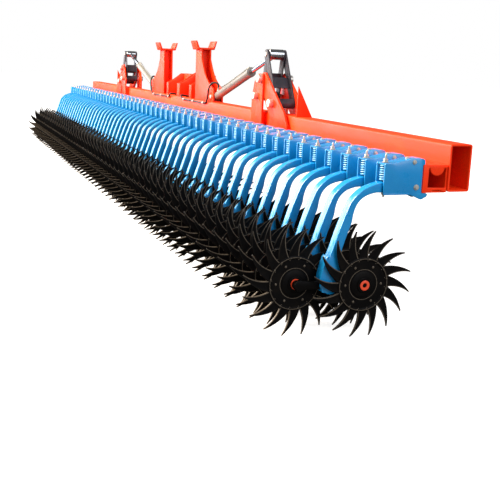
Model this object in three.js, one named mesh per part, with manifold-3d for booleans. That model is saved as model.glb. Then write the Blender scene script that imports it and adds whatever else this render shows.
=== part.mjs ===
// A folding rotary harrow: blue sprung arms on a wide orange frame, each arm with two clawed wheels.
// Millimetres. +X is the right-hand end, +Y the tractor side, +Z up, and z = 0 the ground.
import * as THREE from "three";
import { mergeVertices } from "three/addons/utils/BufferGeometryUtils.js";
import Module from "manifold-3d";

const wasm = await Module();
wasm.setup();

// Counts of what repeats across the machine
const wingUnits = 13;
const centreUnits = 26;
const shownUnits = 2; // units at the right-hand end that are built piece by piece
const teeth = 16;
const springCurls = 7;

// Gaps between pieces
const clearance = 0.3; // between two faces that meet, and around each pin
const bite = 1; // depth by which two joined solids overlap
const flatness = 0.01; // corners that stand out of a face or edge by less than this are dropped

// Clawed wheels and their axles
const tipRadius = 265;
const discRadius = 132;
const hubHalf = 19;
const sweep = THREE.MathUtils.degToRad(8); // how far a claw's tip leads its root
const axleRadius = 14;
const axleCollarRadius = 23;
const axleCollarWidth = 6;
const wheelOffset = 47; // wheel's middle from its arm's middle
const leadY = -104;
const trailY = -424;
const shaftRadius = 14; // to a corner of a row's three-sided shaft

// Units along the beam
const pitch = 190;
const armHalf = 27;
const beamBarHalf = 12; // half the thickness of a walking beam
const beamBarDepth = 44;
const beamBarEye = 30;
const footPin = 12;
const footBack = -312;
const footFront = -226;
const housingHalf = 43;
const housingSheet = 8;
const housingHeel = -25;
const sillDrop = 34; // from the arm's pivot to the housing's lower edge
const crownRise = 24; // from the lid over the spring to the housing's top
const housingCorner = 11;
const hookReach = 33;
const hookDrop = 34;
const seatFront = 24; // front end of the lid's level part under the spring's nut
const pivotY = 152;
const pivotZ = 726;
const pivotPin = 11;
const armTop = 750;
const armDepth = 50;
const armOuter = [[-55, armTop], [-175, 680], [-265, 445]]; // the arm's edges in Y and Z
const armInner = [[-203, 480], [-156, 635], [-75, armTop - armDepth]];
const slotRoom = 2; // extra room at each end of the arm's slot for the spring rod
const swing = THREE.MathUtils.degToRad(12); // upward travel of an arm
const rodRadius = 5.5;
const nutRadius = 11;
const nutHeight = 14;
const washerRadius = 16;
const washerHeight = 3;
const lidRise = 8; // from the toolbar's top to the lid over the spring
const lidSheet = 8;
const curlRadius = 22;
const wireRadius = 3.1;

// Beams
const toolbarBack = 183;
const toolbarDepth = 137.7;
const toolbarLow = 698;
const toolbarHigh = 834;
const toolbarWall = 8;
const beamBack = 321;
const beamDepth = 124;
const beamLow = 702;
const beamHigh = 934;
const beamWall = 10;
const toolbarPast = 43; // toolbar's end past the last arm's middle
const beamPast = 55;

// Fold gear: places are measured outward and up from the hinge
const hingeZ = 1175;
const hingePin = 20;
const foldPin = 18;
const towerSheet = 15;
const towerSpread = 216; // between the outer faces of the two tower plates
const partingGap = 2; // between a beam's end and the parting plane
const rockerPivot = [-75, -128];
const linkPivot = [195, -170];
const knuckle = [0, 178];
const eyeRadius = 36;
const linkSheet = 10;
const rodEyeHalf = 56;
const headReach = 35; // how far a pin's head stands out of a tower plate
const headPast = 11; // by how much a hinge pin's head is wider than the pin
const towerPast = 34; // a fixed tower plate's straight edge past the hinge
const towerCrown = [-62, 37];
const towerBrow = [-136, -20];
const towerShoulder = [-186, -140];
const wingCrown = 45; // radius of a moving tower plate's head
const wingBrow = [42, 45];
const wingSlope = [[482, -306], [420, -226]];
const wingNotch = [[72, -190], [158, -262]];
const finOut = 560; // from the hinge out to the fin
const finHigh = 1142;
const finInset = 3; // from the beam's back face to the fin
const finLean = 6; // by how much the fin's tip is further forward than its back edge

// Cylinders
const cylinderX = 1100;
const cylinderZ = 980;
const barrelRadius = 35;
const barrelLength = 905;
const rodStart = 640;
const cylinderRod = 18;
const barrelWall = 9;

// Posts and saddles
const postX = 680;
const postWidth = 180;
const postSheet = 12;
const barrelRoom = 1; // room between a barrel's eye and each plate of its post
const bendRise = 376; // from the beam's top to the start of the post's flare
// The flare's edge, outward from the post and up from the beam's top
const flareDrop = [[380, 118], [284, 147], [207, 180], [126, 232], [60, 300]];
const webSheet = 16;
const footSheet = 8;
const saddleSheet = 18;
const saddleTop = 1475;
const saddleRise = 3; // room between a saddle and the folded beam
const saddleRoom = 5; // room on each side of the folded beam
const prongSheet = 12;
const prongFlare = 24;

// Headstock
const uprightIn = 380; // inner face of an outer upright's pair of plates
const uprightOut = 470;
const uprightSheet = 14;
const uprightLow = 760;
const shoulderZ = 1062; // top of an upright's back edge
const rampFoot = [420, 1103];
const rampTop = 492; // back end of an upright's level top
const crossSize = 80;
const crossY = 500;
const crossProud = 12; // by how much a cross tube stands out in front of the uprights
const upperCrossZ = 1078;
const lowerCrossZ = 620;
const hitchPin = 18;
const hitchPinY = 650;
const hitchPinZ = 580;
const topPinZ = 1185;
const midIn = 45; // inner face of the middle upright's pair of plates
const midSheet = 16;

// Hoses
const hoseRadius = 9;
const hoseSides = 5;
const hoseSteps = 10;
const hoseGap = 0.6;
const hoseStart = 200;

// Facets of round solids
const pinSides = 8;
const barrelSides = 8;
const endSteps = 3; // facets of half a round plate end

// Worked out from the sizes above
const halfStep = Math.PI / teeth;
const axleZ = tipRadius * Math.cos(halfStep);
const housingSill = pivotZ - sillDrop;
const postSpread = 2 * (barrelRadius + barrelRoom + postSheet);
const footY = (leadY + trailY) / 2;
const endUnitX = ((centreUnits + 2 * wingUnits - 1) / 2) * pitch;
const frontReach = axleZ - trailY;
const beamFront = beamBack + beamDepth;
const beamMidY = (beamBack + beamFront) / 2;
const toolbarEnd = endUnitX + toolbarPast;
const beamEnd = endUnitX + beamPast;
const hingeX = (centreUnits * pitch) / 2;
const partX = hingeX - partingGap;
const towerOut = beamMidY - towerSpread / 2;
const innerTowerOut = towerOut + towerSheet + clearance;
const rockerIn = rodEyeHalf + clearance;
const linkIn = rockerIn + linkSheet + clearance;
const lidTop = toolbarHigh + lidRise;
const lidUnder = lidTop - lidSheet;
const housingCrown = lidTop + crownRise;
const postBend = beamHigh + bendRise;
const unitX = Array.from({ length: centreUnits + 2 * wingUnits }, (_, i) => endUnitX - i * pitch);

// Makes a manifold-3d solid from a closed three.js geometry.
function solid(geometry) {
  const plain = new THREE.BufferGeometry();
  const source = geometry.index ? geometry.toNonIndexed() : geometry;
  plain.setAttribute("position", source.getAttribute("position"));
  const merged = mergeVertices(plain, 1e-4);
  return new wasm.Manifold(
    new wasm.Mesh({
      numProp: 3,
      vertProperties: merged.attributes.position.array,
      triVerts: new Uint32Array(merged.index.array),
    }),
  );
}

// Turns a solid back into a named mesh with its own material.
function piece(name, body, finish) {
  const data = body.simplify(flatness).getMesh();
  const geometry = new THREE.BufferGeometry();
  const places = new Float32Array(data.vertProperties);
  geometry.setAttribute("position", new THREE.BufferAttribute(places, data.numProp));
  geometry.setIndex(new THREE.BufferAttribute(new Uint32Array(data.triVerts), 1));
  geometry.computeVertexNormals();
  const mesh = new THREE.Mesh(geometry, new THREE.MeshStandardMaterial(finish));
  mesh.name = name;
  return mesh;
}

const join = (parts) => wasm.Manifold.union(parts);
const outline = (points) => new THREE.Shape(points.map(([a, b]) => new THREE.Vector2(a, b)));

// A plate whose outline is drawn in Y and Z, from x to x + thickness.
function plateYZ(points, x, thickness) {
  const geometry = new THREE.ExtrudeGeometry(outline(points), { depth: thickness, bevelEnabled: false });
  const turn = new THREE.Matrix4().set(0, 0, 1, x, 1, 0, 0, 0, 0, 1, 0, 0, 0, 0, 0, 1);
  return solid(geometry.applyMatrix4(turn));
}

// A plate whose outline is drawn in X and Z, from y to y + thickness.
function plateXZ(points, y, thickness) {
  const geometry = new THREE.ExtrudeGeometry(outline(points), { depth: thickness, bevelEnabled: false });
  const turn = new THREE.Matrix4().set(1, 0, 0, 0, 0, 0, -1, y + thickness, 0, 1, 0, 0, 0, 0, 0, 1);
  return solid(geometry.applyMatrix4(turn));
}

// A block between two corners.
function block(low, high) {
  const [dx, dy, dz] = high.map((value, i) => value - low[i]);
  const geometry = new THREE.BoxGeometry(dx, dy, dz);
  return solid(geometry.translate(low[0] + dx / 2, low[1] + dy / 2, low[2] + dz / 2));
}

// A round bar along one axis, from one place to another on it.
function bar(axis, centre, from, to, radius, sides = pinSides) {
  const geometry = new THREE.CylinderGeometry(radius, radius, to - from, sides);
  const mid = (from + to) / 2;
  if (axis === "x") geometry.rotateZ(-Math.PI / 2).translate(mid, centre[0], centre[1]);
  if (axis === "y") geometry.translate(centre[0], mid, centre[1]);
  if (axis === "z") geometry.rotateX(Math.PI / 2).translate(centre[0], centre[1], mid);
  return solid(geometry);
}

// The radius of a faceted bore that leaves the clearance around a faceted pin in any position.
const around = (radius, sides = pinSides) => (radius + clearance) / Math.cos(Math.PI / sides);

// The radius of a bore whose facets face those of a fixed pin at the clearance.
const snug = (radius, sides = pinSides) => radius + clearance / Math.cos(Math.PI / sides);

// A hollow rectangular tube along X.
function tube(x0, x1, back, front, low, high, wall) {
  const outer = block([x0, back, low], [x1, front, high]);
  const inner = block([x0 - wall, back + wall, low + wall], [x1 + wall, front - wall, high - wall]);
  return outer.subtract(inner);
}

// Mirrors a solid of the right-hand side to the left-hand side.
const sided = (body, side) => (side > 0 ? body : body.mirror([1, 0, 0]));

const orange = { color: 0xe8482a, roughness: 0.45, metalness: 0.1 };
const deepOrange = { color: 0xd83c22, roughness: 0.45, metalness: 0.1 };
const blue = { color: 0x0a7fcc, roughness: 0.38, metalness: 0.1 };
const springBlue = { color: 0x1b8fd8, roughness: 0.4, metalness: 0.2 };
const black = { color: 0x17191c, roughness: 0.5, metalness: 0.4 };
const zinc = { color: 0xd9dcdc, roughness: 0.3, metalness: 0.8 };
const darkGrey = { color: 0x4a4c50, roughness: 0.5, metalness: 0.4 };
const lightGrey = { color: 0xb9bcbd, roughness: 0.4, metalness: 0.3 };
const chrome = { color: 0xe6e8ea, roughness: 0.12, metalness: 1 };
const rubber = { color: 0x121314, roughness: 0.75, metalness: 0 };

// The valleys and tips of a clawed wheel's star in turn, as [y, z] about the axle.
function starPoints() {
  const at = (radius, angle) => [radius * Math.sin(angle), radius * Math.cos(angle)];
  const points = [];
  for (let i = 0; i < teeth; i++) {
    const middle = Math.PI + halfStep + 2 * halfStep * i;
    points.push(at(discRadius, middle - sweep - halfStep), at(tipRadius, middle));
  }
  return points;
}

// A row of clawed wheels on a three-sided shaft, as one closed surface. Each wheel is thickest at
// the shaft and thins to its star's edge. xs rises. One corner of the shaft points at the walking beams.
function wheelRow(xs, axleY, from, to) {
  const star = starPoints();
  const toBeams = Math.sign(footY - axleY);
  const corners = [0, 1, 2].map((i) => {
    const angle = Math.PI + (toBeams * Math.PI) / 6 + (2 * i * Math.PI) / 3;
    return [shaftRadius * Math.sin(angle), shaftRadius * Math.cos(angle)];
  });
  const points = [];
  const faces = [];
  const ring = (list, x) => list.map(([y, z]) => points.push([x, axleY + y, axleZ + z]) - 1);
  const shaft = (a, b) => {
    for (let i = 0; i < corners.length; i++) {
      const next = (i + 1) % corners.length;
      faces.push([a[i], b[i], a[next]], [b[i], b[next], a[next]]);
    }
  };
  const side = (inner, outer, flip) => {
    const add = (a, b, c) => faces.push(flip ? [a, c, b] : [a, b, c]);
    const share = outer.length / corners.length;
    for (let j = 0; j < outer.length; j++) {
      const next = (j + 1) % outer.length;
      const near = Math.round(j / share) % corners.length;
      const then = Math.round((j + 1) / share) % corners.length;
      add(outer[j], outer[next], inner[near]);
      if (then !== near) add(inner[near], outer[next], inner[then]);
    }
  };
  let last = ring(corners, from);
  faces.push(last.slice());
  for (const x of xs) {
    const low = ring(corners, x - hubHalf);
    const high = ring(corners, x + hubHalf);
    const edge = ring(star, x);
    shaft(last, low);
    side(low, edge, false);
    side(high, edge, true);
    last = high;
  }
  const end = ring(corners, to);
  shaft(last, end);
  faces.push(end.slice().reverse());
  const geometry = new THREE.BufferGeometry();
  geometry.setAttribute("position", new THREE.Float32BufferAttribute(points.flat(), 3));
  geometry.setIndex(faces.flat());
  return solid(geometry);
}

// One clawed wheel, free to turn on a stub axle.
function singleWheel(x, axleY) {
  const star = wheelRow([x], axleY, x - hubHalf - bite, x + hubHalf + bite);
  return star.subtract(bar("x", [axleY, axleZ], x - 2 * hubHalf, x + 2 * hubHalf, around(axleRadius)));
}

// Outline of a unit's side plate in Y and Z, hooked over and under the toolbar.
function housingOutline() {
  const back = toolbarBack - clearance;
  const over = toolbarHigh + clearance;
  const under = toolbarLow - clearance;
  return [
    [housingHeel, housingSill],
    [pivotY - hookReach, housingSill],
    [back, under - hookDrop],
    [back + hookReach, under - hookDrop / 2],
    [back + hookReach, under],
    [back, under],
    [back, over],
    [back + housingCorner, over],
    [back + housingCorner, housingCrown - housingCorner],
    [back - housingCorner, housingCrown],
    [seatFront, lidTop],
    [housingHeel + housingCorner, lidTop],
    [housingHeel, lidTop - housingCorner],
  ];
}

// Outline of the sheet that joins the tops of a housing's two plates.
function lidOutline() {
  const front = toolbarBack - clearance - housingCorner;
  return [
    [housingHeel + bite, lidUnder],
    [seatFront, lidUnder],
    [front, housingCrown - lidSheet],
    [front, housingCrown - bite],
    [seatFront, lidTop - bite / 2],
    [housingHeel + housingCorner, lidTop - bite / 2],
  ];
}

// Outline of an arm in Y and Z around its foot: a level head, a bend and a straight leg.
function armOutline(headEnd, foot) {
  return [[headEnd, armTop - armDepth], [headEnd, armTop], ...armOuter, ...foot, ...armInner];
}

// A walking beam's outline in Y and Z, deepest in the middle.
function beamBarOutline() {
  const half = beamBarDepth / 2;
  return [
    [trailY, axleZ - half / 2],
    [footY, axleZ - half],
    [leadY, axleZ - half / 2],
    [leadY, axleZ + half / 2],
    [footY, axleZ + half],
    [trailY, axleZ + half / 2],
  ];
}

// A unit that is joined to its toolbar: housing, arm and walking beam in one.
function joinedUnit(x) {
  const reach = shaftRadius + clearance;
  const half = beamBarDepth / 4;
  const foot = [
    [footBack, axleZ + half],
    [trailY + reach, axleZ + half],
    [trailY + reach, axleZ - half],
    [leadY - reach, axleZ - half],
    [leadY - reach, axleZ + half],
    [footFront, axleZ + half],
  ];
  const box = [
    [housingHeel, housingSill],
    [toolbarBack + bite, housingSill],
    [toolbarBack + bite, housingCrown],
    [housingHeel, lidTop],
  ];
  return [
    plateYZ(box, x - housingHalf, 2 * housingHalf),
    plateYZ(armOutline(housingHeel + bite, foot), x - armHalf, 2 * armHalf),
  ];
}

// The toolbar of one section with the units that are joined to it.
function bank(name, x0, x1, xs) {
  const front = toolbarBack + toolbarDepth;
  const hollow = tube(x0, x1, toolbarBack, front, toolbarLow, toolbarHigh, toolbarWall);
  return piece(name, join([hollow, ...xs.flatMap(joinedUnit)]), blue);
}

// The housing of a unit that is built piece by piece: two plates, a lid and the arm's pivot pin.
function housing(name, x) {
  const profile = housingOutline();
  const inside = housingHalf - housingSheet;
  const body = join([
    plateYZ(profile, x - housingHalf, housingSheet),
    plateYZ(profile, x + inside, housingSheet),
    plateYZ(lidOutline(), x - inside - bite, 2 * (inside + bite)),
    bar("x", [pivotY, pivotZ], x - inside - bite, x + inside + bite, pivotPin),
  ]);
  const hole = bar("z", [x, 0], lidUnder - nutHeight, lidTop + nutHeight, around(rodRadius));
  return piece(name, body.subtract(hole), blue);
}

// The rod that holds a unit's spring, with its nuts and washer.
function springRod(name, x) {
  const seat = lidTop + clearance;
  const stop = armTop - armDepth - clearance;
  const body = join([
    bar("z", [x, 0], stop - nutHeight - bite, seat + washerHeight + nutHeight + nutHeight / 2, rodRadius),
    bar("z", [x, 0], seat, seat + washerHeight, washerRadius),
    bar("z", [x, 0], seat + washerHeight - bite, seat + washerHeight + nutHeight, nutRadius, 6),
    bar("z", [x, 0], stop - nutHeight, stop, nutRadius, 6),
  ]);
  return piece(name, body, zinc);
}

// A helix of springCurls curls between the arm and the lid, with straight ends.
class SpringCurve extends THREE.Curve {
  constructor(x, low, high) {
    super();
    Object.assign(this, { x, low, high, lead: 2 * wireRadius });
  }
  getPoint(t, target = new THREE.Vector3()) {
    const turns = 2 * Math.PI * springCurls;
    const length = turns * curlRadius;
    const along = t * (length + 2 * this.lead);
    const angle = THREE.MathUtils.clamp((along - this.lead) / curlRadius, 0, turns);
    const extra = along - this.lead - angle * curlRadius;
    const height = this.low + ((this.high - this.low) * angle) / turns;
    return target.set(
      this.x + curlRadius * Math.cos(angle) - extra * Math.sin(angle),
      curlRadius * Math.sin(angle) + extra * Math.cos(angle),
      height,
    );
  }
}

// A round tube along a curve: rings of a few sides joined up, with flat ends.
function tubeAlong(curve, steps, radius, sides) {
  const frames = curve.computeFrenetFrames(steps, false);
  const points = [];
  const faces = [];
  for (let i = 0; i <= steps; i++) {
    const centre = curve.getPoint(i / steps);
    for (let j = 0; j < sides; j++) {
      const angle = (2 * Math.PI * j) / sides;
      const spoke = frames.normals[i].clone().multiplyScalar(Math.cos(angle));
      spoke.addScaledVector(frames.binormals[i], Math.sin(angle));
      points.push(centre.clone().addScaledVector(spoke, radius).toArray());
    }
  }
  for (let i = 0; i < steps; i++)
    for (let j = 0; j < sides; j++) {
      const a = i * sides + j;
      const b = i * sides + ((j + 1) % sides);
      faces.push([a, b, a + sides], [b, b + sides, a + sides]);
    }
  for (let j = 1; j < sides - 1; j++) {
    faces.push([0, j + 1, j]);
    faces.push([steps * sides, steps * sides + j, steps * sides + j + 1]);
  }
  const geometry = new THREE.BufferGeometry();
  geometry.setAttribute("position", new THREE.Float32BufferAttribute(points.flat(), 3));
  geometry.setIndex(faces.flat());
  return solid(geometry);
}

// The least gap between two stretches of a curve's tube that lie a turn apart, measured on points.
function leastGap(curve, samples, radius, apart) {
  const places = Array.from({ length: samples + 1 }, (_, i) => curve.getPoint(i / samples));
  let least = Infinity;
  for (let i = 0; i < places.length; i++)
    for (let j = i + apart; j < places.length; j++) least = Math.min(least, places[i].distanceTo(places[j]));
  return least - 2 * radius;
}

function coilSpring(name, x) {
  const inset = wireRadius + clearance;
  const curve = new SpringCurve(x, armTop + inset, lidUnder - inset);
  const steps = 8 * springCurls;
  const samplesPerCurl = 60;
  const gap = leastGap(curve, samplesPerCurl * springCurls, wireRadius, samplesPerCurl / 2);
  console.log(`${name}: least gap between curls ${gap.toFixed(2)} mm`);
  return piece(name, tubeAlong(curve, steps, wireRadius, 5), springBlue);
}

// An arm with a slot for the spring rod, a pivot eye and a forked foot with its pin.
function arm(name, x) {
  const low = armTop - armDepth;
  const slotBack = -2 * rodRadius - (armTop - pivotZ) * Math.sin(swing) - slotRoom;
  const slotFront = 2 * rodRadius + (pivotZ - low + nutHeight) * Math.sin(swing) + slotRoom;
  const slot = block(
    [x - rodRadius - bite, slotBack, low - bite],
    [x + rodRadius + bite, slotFront, armTop + bite],
  );
  const fork = beamBarHalf + clearance;
  const room = beamBarDepth;
  const foot = [footBack, footFront].map((y) => [y, axleZ - beamBarEye]);
  const body = plateYZ(armOutline(pivotY + 2 * pivotPin, foot), x - armHalf, 2 * armHalf)
    .subtract(bar("x", [pivotY, pivotZ], x - 2 * armHalf, x + 2 * armHalf, around(pivotPin)))
    .subtract(slot)
    .subtract(block([x - fork, footY - 2 * room, 0], [x + fork, footY + 2 * room, axleZ + room]));
  const pin = bar("x", [footY, axleZ], x - fork - bite, x + fork + bite, footPin);
  return piece(name, join([body, pin]), blue);
}

// A walking beam with a stub axle for each of its two wheels.
function walkingBeam(name, x) {
  const bore = bar("x", [footY, axleZ], x - armHalf, x + armHalf, around(footPin));
  const stub = wheelOffset + hubHalf + clearance;
  const parts = [plateYZ(beamBarOutline(), x - beamBarHalf, 2 * beamBarHalf)];
  for (const [y, side] of [[leadY, 1], [trailY, -1]]) {
    const span = (from, to) => (side > 0 ? [x + from, x + to] : [x - to, x - from]);
    parts.push(bar("x", [y, axleZ], ...span(-beamBarHalf, beamBarHalf), beamBarEye));
    parts.push(bar("x", [y, axleZ], ...span(0, stub + bite), axleRadius));
    parts.push(bar("x", [y, axleZ], ...span(stub, stub + axleCollarWidth), axleCollarRadius));
  }
  return piece(name, join(parts).subtract(bore), black);
}

// Points of a rounded plate end about a place, from one angle to another.
function roundEnd([a, b], radius, from, to, steps) {
  return Array.from({ length: steps + 1 }, (_, i) => {
    const angle = THREE.MathUtils.degToRad(from + ((to - from) * i) / steps);
    return [a + radius * Math.cos(angle), b + radius * Math.sin(angle)];
  });
}

// Outline of a link between two eyes.
function linkOutline(p, q, radius) {
  const angle = THREE.MathUtils.radToDeg(Math.atan2(q[1] - p[1], q[0] - p[0]));
  return [
    ...roundEnd(p, radius, angle + 90, angle + 270, endSteps),
    ...roundEnd(q, radius, angle - 90, angle + 90, endSteps),
  ];
}

const hinge = [hingeX, hingeZ];
const fromHinge = ([a, b]) => [hingeX + a, hingeZ + b];

// The fixed plates of a fold tower on the centre beam, with the rocker's pin.
function centreTower() {
  const foot = toolbarHigh + clearance;
  const profile = [
    [towerShoulder[0], foot - hingeZ],
    [towerPast, foot - hingeZ],
    [towerPast, towerCrown[1]],
    towerCrown,
    towerBrow,
    towerShoulder,
  ].map(fromHinge);
  const inner = beamFront + beamBack - towerOut - towerSheet;
  const webs = [towerShoulder[0], -partingGap].map((x) => hingeX + x);
  const body = join([
    plateXZ(profile, towerOut, towerSheet),
    plateXZ(profile, inner, towerSheet),
    block([webs[0], towerOut, foot], [webs[1], beamBack + bite, beamHigh]),
    block([webs[0], beamFront - bite, foot], [webs[1], inner + towerSheet, beamHigh]),
    bar("y", fromHinge(rockerPivot), towerOut - headReach, inner + towerSheet + headReach, foldPin),
  ]);
  return body.subtract(bar("y", hinge, 0, beamFront + towerSpread, around(hingePin)));
}

// The plates of a fold tower on a wing beam, with the link's pin and the gusset further out.
function wingTower() {
  const foot = toolbarHigh + clearance;
  const notch = wingNotch.map(fromHinge);
  const slope = wingSlope.map(fromHinge);
  const [start, end] = [notch[1][0], slope[0][0]];
  const high = slope[0][1];
  const profile = [
    [start, foot],
    [end, foot],
    ...slope,
    fromHinge(wingBrow),
    ...roundEnd(hinge, wingCrown, 90, 270, endSteps),
    ...notch,
  ];
  const inner = beamFront + beamBack - innerTowerOut - towerSheet;
  const fin = [
    [beamBack + finInset, beamHigh - bite],
    [beamFront - bite, beamHigh - bite],
    [beamBack + finInset + finLean, finHigh],
  ];
  const body = join([
    plateXZ(profile, innerTowerOut, towerSheet),
    plateXZ(profile, inner, towerSheet),
    block([start, innerTowerOut, foot], [end, beamBack + bite, high]),
    block([start, beamFront - bite, foot], [end, inner + towerSheet, high]),
    bar("y", fromHinge(linkPivot), innerTowerOut - headReach, inner + towerSheet + headReach, foldPin),
    plateYZ(fin, hingeX + finOut, postSheet),
  ]);
  return body.subtract(bar("y", hinge, 0, beamFront + towerSpread, around(hingePin)));
}

// A hinge pin: one short pin through a pair of tower plates, with a head outside.
function hingeStub(back) {
  const reach = 2 * towerSheet + clearance;
  const from = back ? towerOut : beamFront + beamBack - towerOut - reach;
  const outside = towerOut - clearance;
  const headFrom = back ? outside - headReach : beamFront + beamBack - outside;
  const shank = back ? [headFrom, from + reach] : [from, headFrom + headReach];
  return join([
    bar("y", hinge, shank[0], shank[1], hingePin),
    bar("y", hinge, headFrom, headFrom + headReach, hingePin + headPast, 6),
  ]);
}

// A pair of link plates around a bush, which turns on a tower's pin.
function pairOfLinks(pivot, outer, inner) {
  const a = fromHinge(pivot);
  const b = fromHinge(knuckle);
  const profile = linkOutline(a, b, eyeRadius);
  const body = join([
    plateXZ(profile, beamMidY - outer, outer - inner),
    plateXZ(profile, beamMidY + inner, outer - inner),
    bar("y", a, beamMidY - outer, beamMidY + outer, eyeRadius - bite),
  ]);
  return body.subtract(bar("y", a, 0, 2 * beamMidY, around(foldPin)));
}

const cylinderAngle = Math.atan2(hingeZ + knuckle[1] - cylinderZ, hingeX + knuckle[0] - cylinderX);
const cylinderReach = Math.hypot(hingeZ + knuckle[1] - cylinderZ, hingeX + knuckle[0] - cylinderX);

// Lays a solid that is built along X from its pivot onto the cylinder's line.
function onCylinder(body) {
  const turn = new THREE.Matrix4().makeRotationY(-cylinderAngle);
  turn.setPosition(cylinderX, beamMidY, cylinderZ);
  return body.transform(turn.elements);
}

// A hydraulic barrel with its base eye, hollow for the rod.
function barrel() {
  const sleeve = snug(cylinderRod, barrelSides);
  const bore = barrelRadius - barrelWall + clearance;
  const body = join([
    bar("x", [0, 0], barrelRadius / 2, barrelLength, barrelRadius, barrelSides),
    bar("y", [0, 0], -barrelRadius, barrelRadius, barrelRadius, pinSides),
  ]);
  return onCylinder(
    body
      .subtract(bar("x", [0, 0], 2 * barrelRadius, barrelLength - barrelRadius, bore, barrelSides))
      .subtract(bar("x", [0, 0], 2 * barrelRadius, barrelLength + barrelRadius, sleeve, barrelSides))
      .subtract(bar("y", [0, 0], -postSpread, postSpread, around(foldPin))),
  );
}

// A cylinder's rod with the eye and pin of the knuckle.
function cylinderRodSolid() {
  return onCylinder(
    join([
      bar("x", [0, 0], rodStart, cylinderReach - foldPin, cylinderRod, barrelSides),
      bar("y", [cylinderReach, 0], -rodEyeHalf, rodEyeHalf, eyeRadius + 2 * bite, barrelSides),
    ]),
  );
}

// A post with its saddle, on top of the centre beam. Its flared plates hold the cylinder's base pin.
function post() {
  const foot = beamHigh + clearance;
  const left = postX - postWidth / 2;
  const right = postX + postWidth / 2;
  const saddleFloor = 2 * hingeZ - beamHigh - saddleRise;
  const saddleLow = saddleFloor - saddleSheet;
  const drop = flareDrop.map(([x, z]) => [right + x, beamHigh + z]);
  const flare = drop[0][0];
  const top = saddleLow + bite;
  const corner = [right, postBend];
  const side = [[left, foot], [flare, foot], ...drop, corner, [right, top], [left, top]];
  const back = beamMidY - postSpread / 2;
  const front = beamMidY + postSpread / 2;
  const gap = beamDepth / 2 + saddleRoom;
  const saddle = [
    [-gap - prongSheet, saddleLow],
    [gap + prongSheet, saddleLow],
    [gap + prongSheet + prongFlare, saddleTop],
    [gap + prongFlare, saddleTop],
    [gap, saddleFloor],
    [-gap, saddleFloor],
    [-gap - prongFlare, saddleTop],
    [-gap - prongSheet - prongFlare, saddleTop],
  ].map(([y, z]) => [beamMidY + y, z]);
  return join([
    plateXZ(side, back, postSheet),
    plateXZ(side, front - postSheet, postSheet),
    block([left, back, foot], [flare, front, foot + footSheet]),
    block([postX - webSheet / 2, back + bite, foot], [postX + webSheet / 2, front - bite, top]),
    plateYZ(saddle, left, postWidth),
    bar("y", [cylinderX, cylinderZ], back - nutHeight, front + nutHeight, foldPin),
  ]);
}

// The three-point headstock: a middle upright and two outer ones, each a pair of plates with a
// sheet across their back edges, and two cross tubes. The outer pairs hold the lower hitch pins.
function headstock() {
  const onBeam = beamHigh + clearance;
  const front = beamFront + clearance;
  const back = beamBack + postSheet;
  const crown = upperCrossZ + crossSize;
  const face = crossY + crossSize - crossProud;
  const ramp = [[rampTop, crown], rampFoot, [back, shoulderZ], [back, onBeam]];
  const outer = [
    [front, onBeam],
    [front, uprightLow],
    [crossY, hitchPinZ - crossSize / 2],
    [frontReach, hitchPinZ - crossSize / 2],
    [frontReach, hitchPinZ + crossSize / 2],
    [face, lowerCrossZ + crossSize],
    [face, crown],
    ...ramp,
  ];
  const middle = [
    [face, onBeam],
    [face, upperCrossZ - crossProud],
    [frontReach - crossProud, upperCrossZ],
    [frontReach - crossProud, topPinZ + 2 * hitchPin],
    [hitchPinY - 2 * hitchPin, topPinZ + 2 * hitchPin],
    [crossY, crown],
    ...ramp,
  ];
  const spans = [[-uprightOut, -uprightIn], [-midIn - midSheet, midIn + midSheet], [uprightIn, uprightOut]];
  const parts = [upperCrossZ, lowerCrossZ].map((z) =>
    block([bite - uprightOut, crossY, z], [uprightOut - bite, crossY + crossSize, z + crossSize]),
  );
  for (const [from, to] of spans)
    parts.push(block([from + bite, back, onBeam], [to - bite, back + uprightSheet, shoulderZ - bite]));
  for (const side of [-1, 1]) {
    parts.push(sided(plateYZ(outer, uprightIn, uprightSheet), side));
    parts.push(sided(plateYZ(outer, uprightOut - uprightSheet, uprightSheet), side));
    parts.push(sided(plateYZ(middle, midIn, midSheet), side));
  }
  const reach = 2 * uprightOut;
  return join(parts)
    .subtract(bar("x", [hitchPinY, hitchPinZ], -reach, reach, snug(hitchPin)))
    .subtract(bar("x", [hitchPinY, topPinZ], -reach, reach, snug(hitchPin)));
}

// A hose along the beam's back face from the headstock to a cylinder's base.
function hose() {
  const run = beamBack - hoseRadius - hoseGap;
  const over = beamHigh + hoseRadius + hoseGap;
  const level = beamHigh - 2 * hoseRadius;
  const post = postX - postWidth / 2;
  const points = [
    [hoseStart, beamFront + 3 * hoseRadius, over + crossSize / 2],
    [hoseStart, beamFront, over + hoseRadius],
    [hoseStart, beamMidY, over],
    [hoseStart, beamBack, over + hoseRadius],
    [hoseStart + hoseRadius, run - hoseRadius, over],
    [hoseStart + crossSize, run - hoseGap, level + hoseGap],
    [hoseStart + 2 * crossSize, run, level],
    [post, run, level],
    [cylinderX - 4 * barrelRadius, run, level],
    [cylinderX - 2 * barrelRadius, run, level + hoseRadius],
    [cylinderX - barrelRadius, run - hoseRadius, cylinderZ],
  ];
  const places = points.map((point) => new THREE.Vector3(...point));
  const curve = new THREE.CatmullRomCurve3(places, false, "centripetal");
  return tubeAlong(curve, hoseSteps, hoseRadius, hoseSides);
}

const group = new THREE.Group();
group.name = "rotary_harrow";

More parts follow.
